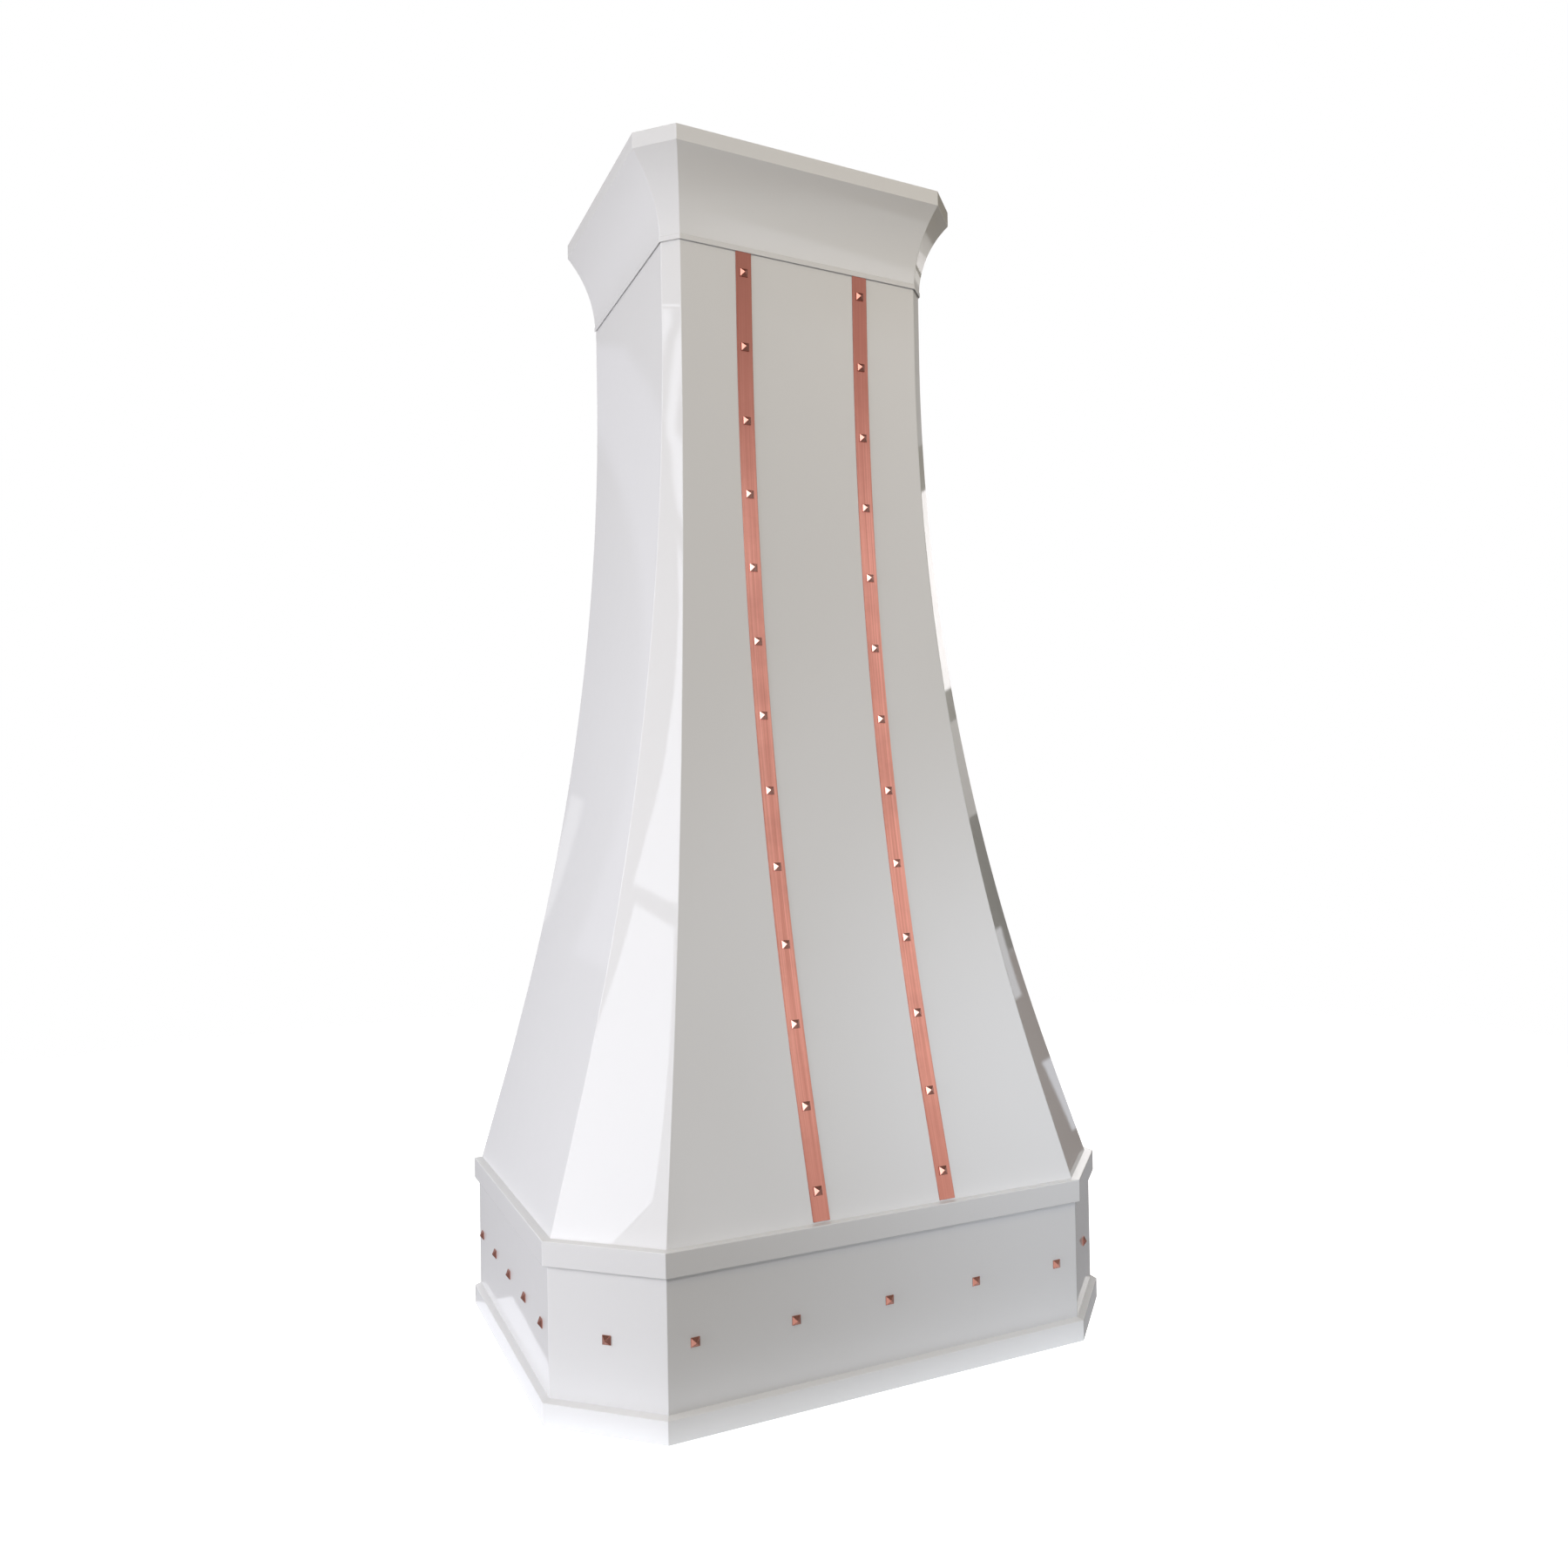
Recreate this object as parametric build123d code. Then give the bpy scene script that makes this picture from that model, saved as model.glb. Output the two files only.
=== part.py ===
from build123d import *
import os
from math import acos, atan, cos, pi, radians, sin, sqrt, tan

# Wall range hood: a flared bell between a studded skirt and a coved crown.
# Frame: +X to the right seen from the front, +Y towards the wall, +Z up.
# Origin: on the wall plane, on the centre line, level with the lowest edge. All sizes are in mm.

# Overall size
overall_width = 914.4
overall_depth = 609.6
overall_height = 1812.0

# Shell sheet and the skirt
shell_sheet = 1.5
corner_leg = 123.0
trim_projection = 9.5
trim_height = 31.0
trim_bevel = 3.0
return_depth = 12.0
return_thickness = 3.0

# Shoulder band between the skirt and the bell
band_bottom = 209.5
band_height = 33.0
band_projection = 7.5
ledge_depth = 40.0
ledge_thickness = 3.0

# Bell
bell_inset = 5.0
flare = 217.5
flare_slope_ratio = 1.83
neck_straight = 102.5
neck_leg = 22.5
neck_tuck = 20.0

# Crown
crown_height = 144.5
crown_projection = 48.5
crown_sheet = 1.5
hem_height = 7.0
hem_projection = 2.75
fascia_height = 24.0
crown_return = 30.0

# Copper straps and studs
strap_width = 25.4
strap_thickness = 1.5
strap_offset = 100.6
strap_foot_gap = 2.0
stud_size = 12.5
stud_base = 1.2
stud_rise = 4.6
stud_tip = 0.4
stud_seat = 0.03
strap_stud_foot = 41.4
strap_stud_head = 32.0
strap_stud_count = 13
face_stud_count = 5
stud_corner_gap = 37.5
stud_wall_gap = 28.6

# Wall rails and back flanges
rail_height = 40.0
rail_depth = 25.0
rail_sheet = 3.0
rail_drop = 67.5
stile_width = 28.5
back_flange_width = 25.0
wall_bolt_inset = 22.0
wall_bolt_radius = 4.5

# Liner and bottom plate
plate_sheet = 1.5
liner_sheet = 1.2
liner_side_gap = 82.7
liner_corner_gap = 7.8
liner_back = 65.0
liner_height = 147.0
liner_flange = 15.0
liner_gap = 0.5
screw_radius = 2.0
screw_head_radius = 4.0
screw_head_height = 1.6
screw_length = 8.0
screw_side_count = 3
screw_inset = 60.0

# Control panel, filters and grease tray
panel_depth = 99.0
panel_level = 25.0
ledge_lip = 10.0
filter_thickness = 15.0
filter_rim = 20.0
filter_gap = 1.5
filter_tilt = 4.0
filter_back_level = 34.0
seat_gap = 0.3
baffle_count = 8
baffle_sheet = 1.0
baffle_width = 26.0
baffle_lip = 4.0
handle_width = 80.0
handle_drop = 20.0
handle_radius = 3.0
handle_setback = 13.0
tray_lip_level = 8.0
tray_depth = 34.0
tray_height = 14.5
tray_sheet = 1.2
tray_side_gap = 12.0

# Lamps and controls
lamp_inset = 115.0
lamp_radius = 32.0
lamp_height = 33.0
lamp_flange = 6.0
lamp_flange_thickness = 1.6
lamp_wall = 2.0
lens_thickness = 2.2
lens_gap = 0.2
control_offset = 60.0
knob_radius = 16.0
knob_height = 15.0
knob_gap = 1.0
knob_bevel = 1.5
knob_groove_count = 24
knob_groove_radius = 1.2
pointer_width = 2.0
pointer_height = 0.8
spindle_radius = 3.0
spindle_length = 22.0
running_gap = 0.05
bushing_radius = 5.0
switch_size = 30.0
switch_height = 26.0
button_radius = 9.0
button_stand = 5.0
button_height = 11.0
button_round = 1.2
button_stem = 5.0
button_gap = 0.3

# Blower
box_sheet = 1.2
box_back_gap = 17.0
box_front_gap = 45.0
box_gap = 15.0
wheel_half_width = 58.0
blade_count = 36
blade_chord = 16.0
blade_angle = 30.0
blade_sheet = 0.9
wheel_sheet = 1.5
hub_radius = 14.0
hub_length = 35.0
shaft_radius = 5.0
scroll_sheet = 1.2
wheel_side_gap = 8.0
tongue_gap = 7.0
scroll_growth = 48.0
scroll_point_count = 13
throat_depth = 120.0
throat_rise = 150.0
throat_flange = 10.0
inlet_gap = 3.0
motor_radius = 58.0
motor_length = 85.0
motor_round = 8.0
motor_gap = 22.0
motor_hole_gap = 4.0
motor_neck_radius = 14.0
motor_plate_rim = 14.0
motor_plate_sheet = 1.5
shaft_end_gap = 15.0

# Duct collar and back-draught damper
collar_radius = 100.0
collar_sheet = 1.0
collar_height = 62.0
collar_flange = 22.0
collar_edge_gap = 1.0
damper_level = 36.0
damper_axle_radius = 2.5
damper_axle_gap = 0.3
damper_knuckle_radius = 4.0
damper_knuckle_count = 6
damper_gap = 2.0
damper_sheet = 1.0
stop_width = 5.0

# Junction box and cable gland
junction_width = 64.0
junction_depth = 110.0
junction_height = 45.0
junction_sheet = 1.2
junction_gap = 4.3
gland_radius = 11.0
gland_nut_radius = 14.0
gland_nut_height = 8.0
gland_length = 26.0
gland_tail = 8.0
cable_radius = 6.5

# Worked-out shell
leg_growth = 2.0 - sqrt(2.0)
diagonal = sqrt(0.5)
skirt_half = overall_width / 2 - trim_projection
skirt_depth = overall_depth - trim_projection
skirt = (skirt_half, skirt_depth, corner_leg)
ledge_top = band_bottom + band_height
ledge_bottom = ledge_top - ledge_thickness
neck_top = overall_height - crown_height
flare_top = neck_top - neck_straight
foot = (skirt_half - bell_inset, skirt_depth - bell_inset, corner_leg - leg_growth * bell_inset)
neck = (foot[0] - flare, foot[1] - flare, neck_leg)
corner_flare = (2.0 * flare - (foot[2] - neck_leg)) * diagonal / flare
bend = atan(flare_slope_ratio * flare / (flare_top - ledge_top))
flare_radius = (tan(bend) * (flare_top - ledge_top) - flare) / (tan(bend) * sin(bend) - 1.0 + cos(bend))
flare_end = flare_top - flare_radius * sin(bend)
foot_straight = (flare_end - ledge_top) / cos(bend)
flare_bow = flare_radius * bend
bell_face = foot_straight + flare_bow + neck_straight
fascia_bottom = overall_height - fascia_height
neck_rail_bottom = neck_top - rail_drop
wall_bolt_half = neck[0] - wall_bolt_inset

# Worked-out liner and filters
liner_half = skirt_half - liner_side_gap
corner_room = skirt_half + skirt_depth - corner_leg - return_depth / diagonal
liner_front = corner_room - liner_half - 2 * liner_flange - liner_corner_gap
plate_bottom = return_thickness
flange_bottom = plate_bottom - liner_sheet
liner_top = plate_bottom + liner_height
panel_back = liner_front - panel_depth
panel_centre = liner_front - panel_depth / 2
panel_top = panel_level + liner_sheet
rail_web_front = liner_back + 2 * liner_sheet
filter_slope = radians(filter_tilt)
filter_width = liner_half - liner_sheet - 1.5 * filter_gap
lamp_offset = liner_half - lamp_inset
filter_front = panel_back - liner_sheet - 2 * filter_gap
filter_back = rail_web_front + filter_gap
filter_length = (filter_front - filter_back) / cos(filter_slope)
filter_rise = (filter_front - filter_back) * tan(filter_slope)

# Worked-out blower and duct
box_back = liner_back + box_back_gap
box_front = liner_front - box_front_gap
box_bottom = liner_top + liner_sheet
duct_depth = box_back + collar_edge_gap + collar_flange + collar_radius
throat_outer = duct_depth - throat_depth / 2
throat_inner = duct_depth + throat_depth / 2
scroll_radius = (box_front - box_gap - throat_outer) / 2
tongue_radius = scroll_radius - scroll_growth
wheel_radius = tongue_radius - tongue_gap
wheel_depth = throat_outer + scroll_radius
wheel_level = liner_top + scroll_radius
tongue_angle = acos((wheel_depth - throat_inner) / tongue_radius)
inlet_radius = wheel_radius - blade_chord - inlet_gap
scroll_half = wheel_half_width + wheel_side_gap
cheek_face = scroll_half + scroll_sheet
motor_face = cheek_face + motor_plate_sheet
motor_hole_radius = motor_radius + motor_hole_gap
box_half = motor_face + motor_length + motor_gap
box_top = wheel_level + throat_rise
junction_offset = box_half + junction_gap + junction_width / 2
collar_bottom = box_top + box_sheet
damper_axis = collar_bottom + damper_level
damper_radius = collar_radius - collar_sheet - damper_gap

# The five walls, from the left rear round to the right rear
wall_normals = [(-1, 0), (-diagonal, -diagonal), (0, -1), (diagonal, -diagonal), (1, 0)]
wall_names = ["side_left", "corner_left", "front", "corner_right", "side_right"]
corner_walls = [i for i, name in enumerate(wall_names) if name.startswith("corner")]
front_wall = wall_names.index("front")
far = 2.0 * (overall_width + overall_depth + overall_height)
cut_over = 1.0


def block(x0, x1, y0, y1, z0, z1):
    """Box between two corners."""
    return Pos((x0 + x1) / 2, (y0 + y1) / 2, (z0 + z1) / 2) * Box(x1 - x0, y1 - y0, z1 - z0)


def upright(x, y, z0, z1, radius):
    """Vertical cylinder."""
    return Pos(x, y, (z0 + z1) / 2) * Cylinder(radius, z1 - z0)


def level(y, z, x0, x1, radius):
    """Cylinder along X."""
    return Pos((x0 + x1) / 2, y, z) * Rot(Y=90) * Cylinder(radius, x1 - x0)


def outline(half, depth, leg):
    """Plan outline from the left rear corner round the front to the right rear corner."""
    return [(-half, 0), (-half, leg - depth), (leg - half, -depth),
            (half - leg, -depth), (half, leg - depth), (half, 0)]


def grown(plan, offset):
    """Plan moved outwards by the offset on every wall."""
    half, depth, leg = plan
    return half + offset, depth + offset, leg + leg_growth * offset


def polygon(*points):
    """Filled outline through points."""
    return make_face(Polyline(*points, close=True))


def run_along(wall, plan, section):
    """Section drawn outwards and upwards from the plan's wall, run past both of its ends."""
    ends = outline(*plan)[wall:wall + 2]
    normal = Vector(*wall_normals[wall], 0)
    middle = Vector((ends[0][0] + ends[1][0]) / 2, (ends[0][1] + ends[1][1]) / 2, 0)
    across = Plane(origin=middle, x_dir=normal, z_dir=normal.cross(Vector(0, 0, 1)))
    return extrude(across * section, far, both=True)


def mitre_wedge(wall, inner, outer, beyond=0.0):
    """Tall wedge between one wall's corner lines, from the inner plan to the outer one and a share beyond."""
    near, away = [], []
    for i in (wall, wall + 1):
        start = Vector(*outline(*inner)[i])
        step = Vector(*outline(*outer)[i]) - start
        near.append(start - step * beyond)
        away.append(start + step * (1 + beyond))
    return extrude(polygon(near[0], near[1], away[1], away[0]), far, dir=(0, 0, 1))


def moulding(wall, plan, section, inward, outward):
    """One wall's length of a moulding, mitred at its corners and square at the house wall."""
    wedge = mitre_wedge(wall, grown(plan, -inward - cut_over), grown(plan, outward + cut_over))
    return run_along(wall, plan, section) & wedge


def flare_line(shift, factor, top):
    """Bell line in outward and upward distance: straight neck, arc, straight foot."""
    steps = 8
    angles = [bend * i / steps for i in range(steps + 1)]
    arc = [(shift + factor * flare_radius * (1 - cos(a)), flare_top - flare_radius * sin(a)) for a in angles]
    return [
        Line((shift, top), arc[0]),
        Spline(arc, tangents=[(0, -1), (factor * sin(bend), -cos(bend))]),
        Line(arc[-1], (shift + factor * flare, ledge_top)),
    ]


def flare_section(inner, outer, factor, top):
    """Strip that follows the bell line between two outward offsets."""
    reach = factor * flare
    ends = [Line((inner, top), (outer, top)), Line((inner + reach, ledge_top), (outer + reach, ledge_top))]
    return make_face(flare_line(inner, factor, top) + flare_line(outer, factor, top) + ends)


def bell_point(distance):
    """Offset, height and lean of the bell's face at a distance up its surface from the foot."""
    if distance <= foot_straight:
        return flare - distance * sin(bend), ledge_top + distance * cos(bend), bend
    if distance <= foot_straight + flare_bow:
        lean = bend - (distance - foot_straight) / flare_radius
        return flare_radius * (1 - cos(lean)), flare_top - flare_radius * sin(lean), lean
    return 0.0, flare_top + distance - foot_straight - flare_bow, 0.0


def spread(start, end, count):
    """Evenly spaced values from start to end."""
    return [start + (end - start) * i / (count - 1) for i in range(count)]


# Shell


def bell_wall(wall):
    """Curved bell panel on one of the five walls, tucked up inside the crown."""
    factor = corner_flare if wall in corner_walls else 1.0
    strip = run_along(wall, neck, flare_section(-shell_sheet, 0, factor, neck_top + neck_tuck))
    return strip & mitre_wedge(wall, neck, foot, beyond=0.2)


def skirt_wall(wall):
    """Flat skirt panel between the bottom return and the shoulder ledge."""
    section = polygon((-shell_sheet, return_thickness), (0, return_thickness),
                      (0, ledge_bottom), (-shell_sheet, ledge_bottom))
    return moulding(wall, skirt, section, shell_sheet, 0)


def base_trim():
    """Bottom trim with a bevelled top edge and a return under the skirt."""
    section = polygon((-return_depth, 0), (trim_projection, 0), (trim_projection, trim_height),
                      (0, trim_height + trim_bevel), (0, return_thickness), (-return_depth, return_thickness))
    return [moulding(wall, skirt, section, return_depth, trim_projection) for wall in range(5)]


def shoulder_band():
    """Band round the top of the skirt, with a ledge that carries the bell."""
    section = polygon((0, band_bottom), (band_projection, band_bottom), (band_projection, ledge_top),
                      (-ledge_depth, ledge_top), (-ledge_depth, ledge_bottom), (0, ledge_bottom))
    return [moulding(wall, skirt, section, ledge_depth, band_projection) for wall in range(5)]


def crown_cove():
    """Hemmed cove that springs from the neck and ends under the fascia."""
    rise = fascia_bottom - neck_top
    swing = crown_projection - crown_sheet
    radius = (rise ** 2 + swing ** 2) / (2 * swing)
    centre = crown_sheet + radius

    def cove_point(bow, height):
        return centre - sqrt(bow ** 2 - height ** 2), neck_top + height

    lift = hem_height + hem_projection - crown_sheet
    outer = [cove_point(radius, lift), cove_point(radius, (lift + rise) / 2), cove_point(radius, rise)]
    back = radius + crown_sheet
    inner = [cove_point(back, rise), cove_point(back, rise / 2), cove_point(back, 0)]
    section = make_face([
        Line((0, neck_top), (hem_projection, neck_top)),
        Line((hem_projection, neck_top), (hem_projection, neck_top + hem_height)),
        Line((hem_projection, neck_top + hem_height), outer[0]),
        ThreePointArc(*outer),
        Line(outer[-1], inner[0]),
        ThreePointArc(*inner),
    ])
    return [moulding(wall, neck, section, 0, crown_projection) for wall in range(5)]


def crown_fascia():
    """Flat fascia with a return round the open top."""
    top = overall_height
    inside = crown_projection - crown_sheet
    section = polygon((inside, fascia_bottom), (crown_projection, fascia_bottom), (crown_projection, top),
                      (inside - crown_return, top), (inside - crown_return, top - crown_sheet),
                      (inside, top - crown_sheet))
    return [moulding(wall, neck, section, 0, crown_projection) for wall in range(5)]


# Straps and studs


def strap(side):
    """Flat copper strap down the bell's front, from the crown's hem to just above the ledge."""
    strip = run_along(front_wall, neck, flare_section(0, strap_thickness, 1.0, neck_top))
    centre = side * strap_offset
    return strip & block(centre - strap_width / 2, centre + strap_width / 2, -far, far,
                         ledge_top + strap_foot_gap, neck_top)


def stud():
    """Square pyramid stud on its own base, apex along +Z, sitting on Z = 0."""
    square = Rectangle(stud_size, stud_size)
    tip = Pos(0, 0, stud_base + stud_rise) * Rectangle(stud_tip, stud_tip)
    return extrude(square, stud_base) + loft([Pos(0, 0, stud_base) * square, tip])


def stud_on(x, y, z, normal):
    """Stud seated on a face, with its edges level and its apex along the normal."""
    outward = Vector(*normal)
    level_edge = outward.cross(Vector(0, 0, 1))
    return Plane(origin=(x, y, z), x_dir=level_edge, z_dir=outward) * stud()


def strap_studs(side):
    """Row of studs up one strap."""
    studs = []
    for distance in spread(strap_stud_foot, bell_face - strap_stud_head, strap_stud_count):
        offset, height, lean = bell_point(distance)
        stand = strap_thickness * cos(lean) + stud_seat
        y = -(neck[1] + offset + stand * cos(lean))
        studs.append(stud_on(side * strap_offset, y, height + stand * sin(lean), (0, -cos(lean), sin(lean))))
    return studs


def skirt_studs():
    """Row of studs round the skirt, halfway between the trim and the band."""
    height = (trim_height + band_bottom) / 2
    half_row = skirt_half - corner_leg - stud_corner_gap
    front_row = spread(-half_row, half_row, face_stud_count)
    studs = [stud_on(x, -skirt_depth, height, (0, -1, 0)) for x in front_row]
    for side in (-1, 1):
        studs.append(stud_on(side * (skirt_half - corner_leg / 2), corner_leg / 2 - skirt_depth, height,
                             (side * diagonal, -diagonal, 0)))
        row = spread(corner_leg + stud_corner_gap - skirt_depth, -stud_wall_gap, face_stud_count)
        studs += [stud_on(side * skirt_half, y, height, (side, 0, 0)) for y in row]
    return studs


# Wall rails and back flanges


def wall_rail(half, bottom):
    """Channel against the house wall, with a bolt hole near each end of the neck."""
    solid = block(-half, half, -rail_depth, 0, bottom, bottom + rail_height)
    hollow = block(-half, half, -rail_depth - cut_over, -rail_sheet,
                   bottom + rail_sheet, bottom + rail_height - rail_sheet)
    channel = solid - hollow
    for side in (-1, 1):
        hole = Pos(side * wall_bolt_half, 0, bottom + rail_height / 2) * Rot(X=90)
        channel -= hole * Cylinder(wall_bolt_radius, 3 * rail_sheet)
    return channel


def stile(side):
    """Upright angle at the skirt's rear edge, between the bottom return and the ledge."""
    wall_face = skirt_half - shell_sheet
    edges = sorted((side * wall_face, side * (wall_face - stile_width)))
    skin = sorted((side * wall_face, side * (wall_face - rail_sheet)))
    back = block(*edges, -rail_sheet, 0, return_thickness, ledge_bottom)
    return back + block(*skin, -rail_depth, 0, return_thickness, ledge_bottom)


def back_flange(side):
    """Strip at the bell's rear edge that follows its curve up to the neck rail."""
    wall = 0 if side < 0 else 4
    section = flare_section(-shell_sheet - back_flange_width, -shell_sheet, 1.0, neck_rail_bottom)
    return run_along(wall, neck, section) & block(-far, far, -rail_sheet, 0, ledge_top, neck_rail_bottom)


# Bottom plate and liner


def screw_places():
    """Centres of the screws through the liner's flange."""
    middle = liner_flange / 2
    front = -liner_front - middle
    back = -liner_back + middle
    half_row = liner_half - screw_inset
    places = [(x, front) for x in spread(-half_row, half_row, screw_side_count)]
    places += [(x, back) for x in spread(-half_row, half_row, screw_side_count)]
    for side in (-1, 1):
        places.append((side * (liner_half + middle), -(liner_front + liner_back) / 2))
    return places


def with_holes(shape, low, high, radius):
    """Shape with the flange screw holes cut between two heights."""
    for x, y in screw_places():
        shape -= upright(x, y, low - cut_over, high + cut_over, radius)
    return shape


def bottom_plate():
    """Plate that closes the skirt round the liner."""
    half, depth, leg = grown(skirt, -shell_sheet)
    points = [(-half, -rail_depth)] + outline(half, depth, leg)[1:5] + [(half, -rail_depth)]
    plate = extrude(Pos(0, 0, plate_bottom) * polygon(*points), plate_sheet, dir=(0, 0, 1))
    gap = liner_half + liner_gap
    plate -= block(-gap, gap, -liner_front - liner_gap, -liner_back + liner_gap,
                   plate_bottom - cut_over, plate_bottom + plate_sheet + cut_over)
    return with_holes(plate, plate_bottom, plate_bottom + plate_sheet, screw_radius)


def liner_wall(x0, x1, y0, y1, flange):
    """Upright liner sheet with its screw flange under the bottom plate."""
    sheet = block(x0, x1, y0, y1, flange_bottom, liner_top) + block(*flange, flange_bottom, plate_bottom)
    return with_holes(sheet, flange_bottom, plate_bottom, screw_radius)


def liner_front_wall():
    """Front sheet of the liner."""
    wide = liner_half + liner_flange
    return liner_wall(-liner_half, liner_half, -liner_front, -liner_front + liner_sheet,
                      (-wide, wide, -liner_front - liner_flange, -liner_front + liner_sheet))


def liner_back_wall():
    """Back sheet of the liner."""
    wide = liner_half + liner_flange
    return liner_wall(-liner_half, liner_half, -liner_back - liner_sheet, -liner_back,
                      (-wide, wide, -liner_back - liner_sheet, -liner_back + liner_flange))


def liner_side_wall(side):
    """Side sheet of the liner, between the front and back sheets."""
    sheet = sorted((side * liner_half, side * (liner_half - liner_sheet)))
    flange = sorted((side * (liner_half - liner_sheet), side * (liner_half + liner_flange)))
    ends = (-liner_front + liner_sheet, -liner_back - liner_sheet)
    return liner_wall(*sheet, *ends, (*flange, *ends))


def liner_roof():
    """Top sheet of the liner, open under the blower box."""
    inside = box_half - box_sheet
    roof = block(-liner_half, liner_half, -liner_front, -liner_back, liner_top, box_bottom)
    return roof - block(-inside, inside, -box_front + box_sheet, -box_back - box_sheet,
                        liner_top - cut_over, box_bottom + cut_over)


def liner_screws():
    """Pan-head screws up through the liner's flange and the bottom plate."""
    screws = []
    for x, y in screw_places():
        head = upright(x, y, flange_bottom - screw_head_height, flange_bottom, screw_head_radius)
        screws.append(head + upright(x, y, flange_bottom, flange_bottom + screw_length, screw_radius))
    return screws


# Control panel, filters and grease tray


def control_panel():
    """Front strip of the liner with the lamp and control holes, and the filters' front ledge."""
    half = liner_half - liner_sheet
    front = -liner_front + liner_sheet
    lip_top = filter_back_level + filter_rise - ledge_lip * tan(filter_slope) - seat_gap
    panel = block(-half, half, front, -panel_back, panel_level, panel_top)
    panel += block(-half, half, -panel_back - liner_sheet, -panel_back, panel_level, lip_top)
    panel += block(-half, half, -panel_back - liner_sheet, -panel_back + ledge_lip,
                   lip_top - liner_sheet, lip_top)
    low, high = panel_level - cut_over, panel_top + cut_over
    for side in (-1, 1):
        panel -= upright(side * lamp_offset, -panel_centre, low, high, lamp_radius)
    panel -= upright(control_offset, -panel_centre, low, high, bushing_radius)
    return panel - upright(-control_offset, -panel_centre, low, high, button_radius + button_gap)


def filter_rail():
    """Rear rail with a lip for the filters and a lower lip for the grease tray."""
    half = liner_half - liner_sheet
    web = block(-half, half, -rail_web_front, -liner_back - liner_sheet, tray_lip_level,
                filter_back_level + filter_thickness)
    top = filter_back_level - seat_gap
    web += block(-half, half, -rail_web_front - ledge_lip, -rail_web_front, top - liner_sheet, top)
    return web + block(-half, half, -rail_web_front - tray_depth - 2 * filter_gap, -rail_web_front,
                       tray_lip_level, tray_lip_level + liner_sheet)


def baffle(width):
    """Shallow channel along Y, its lips pointing up."""
    half = width / 2
    rim = half - baffle_sheet
    points = [(-half, 0), (half, 0), (half, baffle_lip), (rim, baffle_lip), (rim, baffle_sheet),
              (-rim, baffle_sheet), (-rim, baffle_lip), (-half, baffle_lip)]
    length = filter_length / 2 - filter_rim + cut_over
    return extrude(Plane.XZ * polygon(*points), length, both=True)


def place_filter(side):
    """Place of a filter's centre, tilted down towards the rear."""
    middle = side * (filter_width + filter_gap) / 2
    level_up = filter_back_level + filter_rise / 2 + filter_thickness / 2 / cos(filter_slope)
    return Pos(middle, -(filter_front + filter_back) / 2, level_up) * Rot(X=-filter_tilt)


def baffle_filter(side):
    """Framed filter with two staggered rows of baffles."""
    half = filter_thickness / 2
    frame = Box(filter_width, filter_length, filter_thickness) - Box(
        filter_width - 2 * filter_rim, filter_length - 2 * filter_rim, filter_thickness + cut_over)
    inside = filter_width - 2 * filter_rim
    pitch = inside / baffle_count
    rows = []
    for i in range(baffle_count):
        rows.append(Pos(-inside / 2 + (i + 0.5) * pitch, 0, -half) * baffle(baffle_width))
    for i in range(baffle_count - 1):
        rows.append(Pos(-inside / 2 + (i + 1) * pitch, 0, half) * Rot(Y=180) * baffle(baffle_width))
    return place_filter(side) * (frame + rows)


def filter_handle(side):
    """Bail handle under the filter's front rim."""
    half = handle_width / 2 - handle_radius
    drop = handle_drop - handle_radius
    path = Polyline((-half, 0, 0), (-half, 0, -drop), (half, 0, -drop), (half, 0, 0))
    bend = fillet(path.vertices().sort_by(Axis.Z)[:2], 2 * handle_radius)
    bar = sweep(Plane(origin=(-half, 0, 0), z_dir=(0, 0, -1)) * Circle(handle_radius), path=bend)
    edge = Pos(0, handle_setback - filter_length / 2, -filter_thickness / 2)
    return place_filter(side) * edge * bar


def grease_tray():
    """Open trough on the rear rail's lower lip, with a pull edge along its front."""
    half = liner_half - liner_sheet - tray_side_gap
    back = -rail_web_front - filter_gap
    front = back - tray_depth
    low = tray_lip_level + liner_sheet + seat_gap
    high = low + tray_height
    tray = block(-half, half, front, back, low, high)
    tray -= block(-half + tray_sheet, half - tray_sheet, front + tray_sheet, back - tray_sheet,
                  low + tray_sheet, high + cut_over)
    return tray + block(-half, half, front - 2 * filter_gap, front, high - tray_sheet, high)


# Lamps and controls


def lamp_can(side):
    """Round lamp body through the panel, with a flange under it and a seat for the lens."""
    x = side * lamp_offset
    low = panel_level - lamp_flange_thickness
    can = upright(x, -panel_centre, low, panel_top + lamp_height, lamp_radius)
    can += upright(x, -panel_centre, low, panel_level, lamp_radius + lamp_flange)
    return can - upright(x, -panel_centre, low - cut_over, panel_top + lamp_height - lamp_wall,
                         lamp_radius - lamp_wall)


def lamp_lens(side):
    """Flat lens in the mouth of the lamp body."""
    low = panel_level - lamp_flange_thickness + lens_gap
    return upright(side * lamp_offset, -panel_centre, low, low + lens_thickness, lamp_radius - lamp_wall)


def fan_knob():
    """Ribbed speed knob with its spindle, under the panel."""
    x, y = control_offset, -panel_centre
    high = panel_level - knob_gap
    low = high - knob_height
    knob = upright(x, y, low, high, knob_radius)
    knob = chamfer(knob.edges().group_by(Axis.Z)[0], knob_bevel)
    for i in range(knob_groove_count):
        angle = 2 * pi * i / knob_groove_count
        knob -= upright(x + knob_radius * cos(angle), y + knob_radius * sin(angle),
                        low - cut_over, high + cut_over, knob_groove_radius)
    pointer = block(x - pointer_width / 2, x + pointer_width / 2, y - knob_radius + 2 * knob_bevel, y,
                    low - pointer_height, low)
    return knob + pointer + upright(x, y, high, high + spindle_length, spindle_radius)


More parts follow.
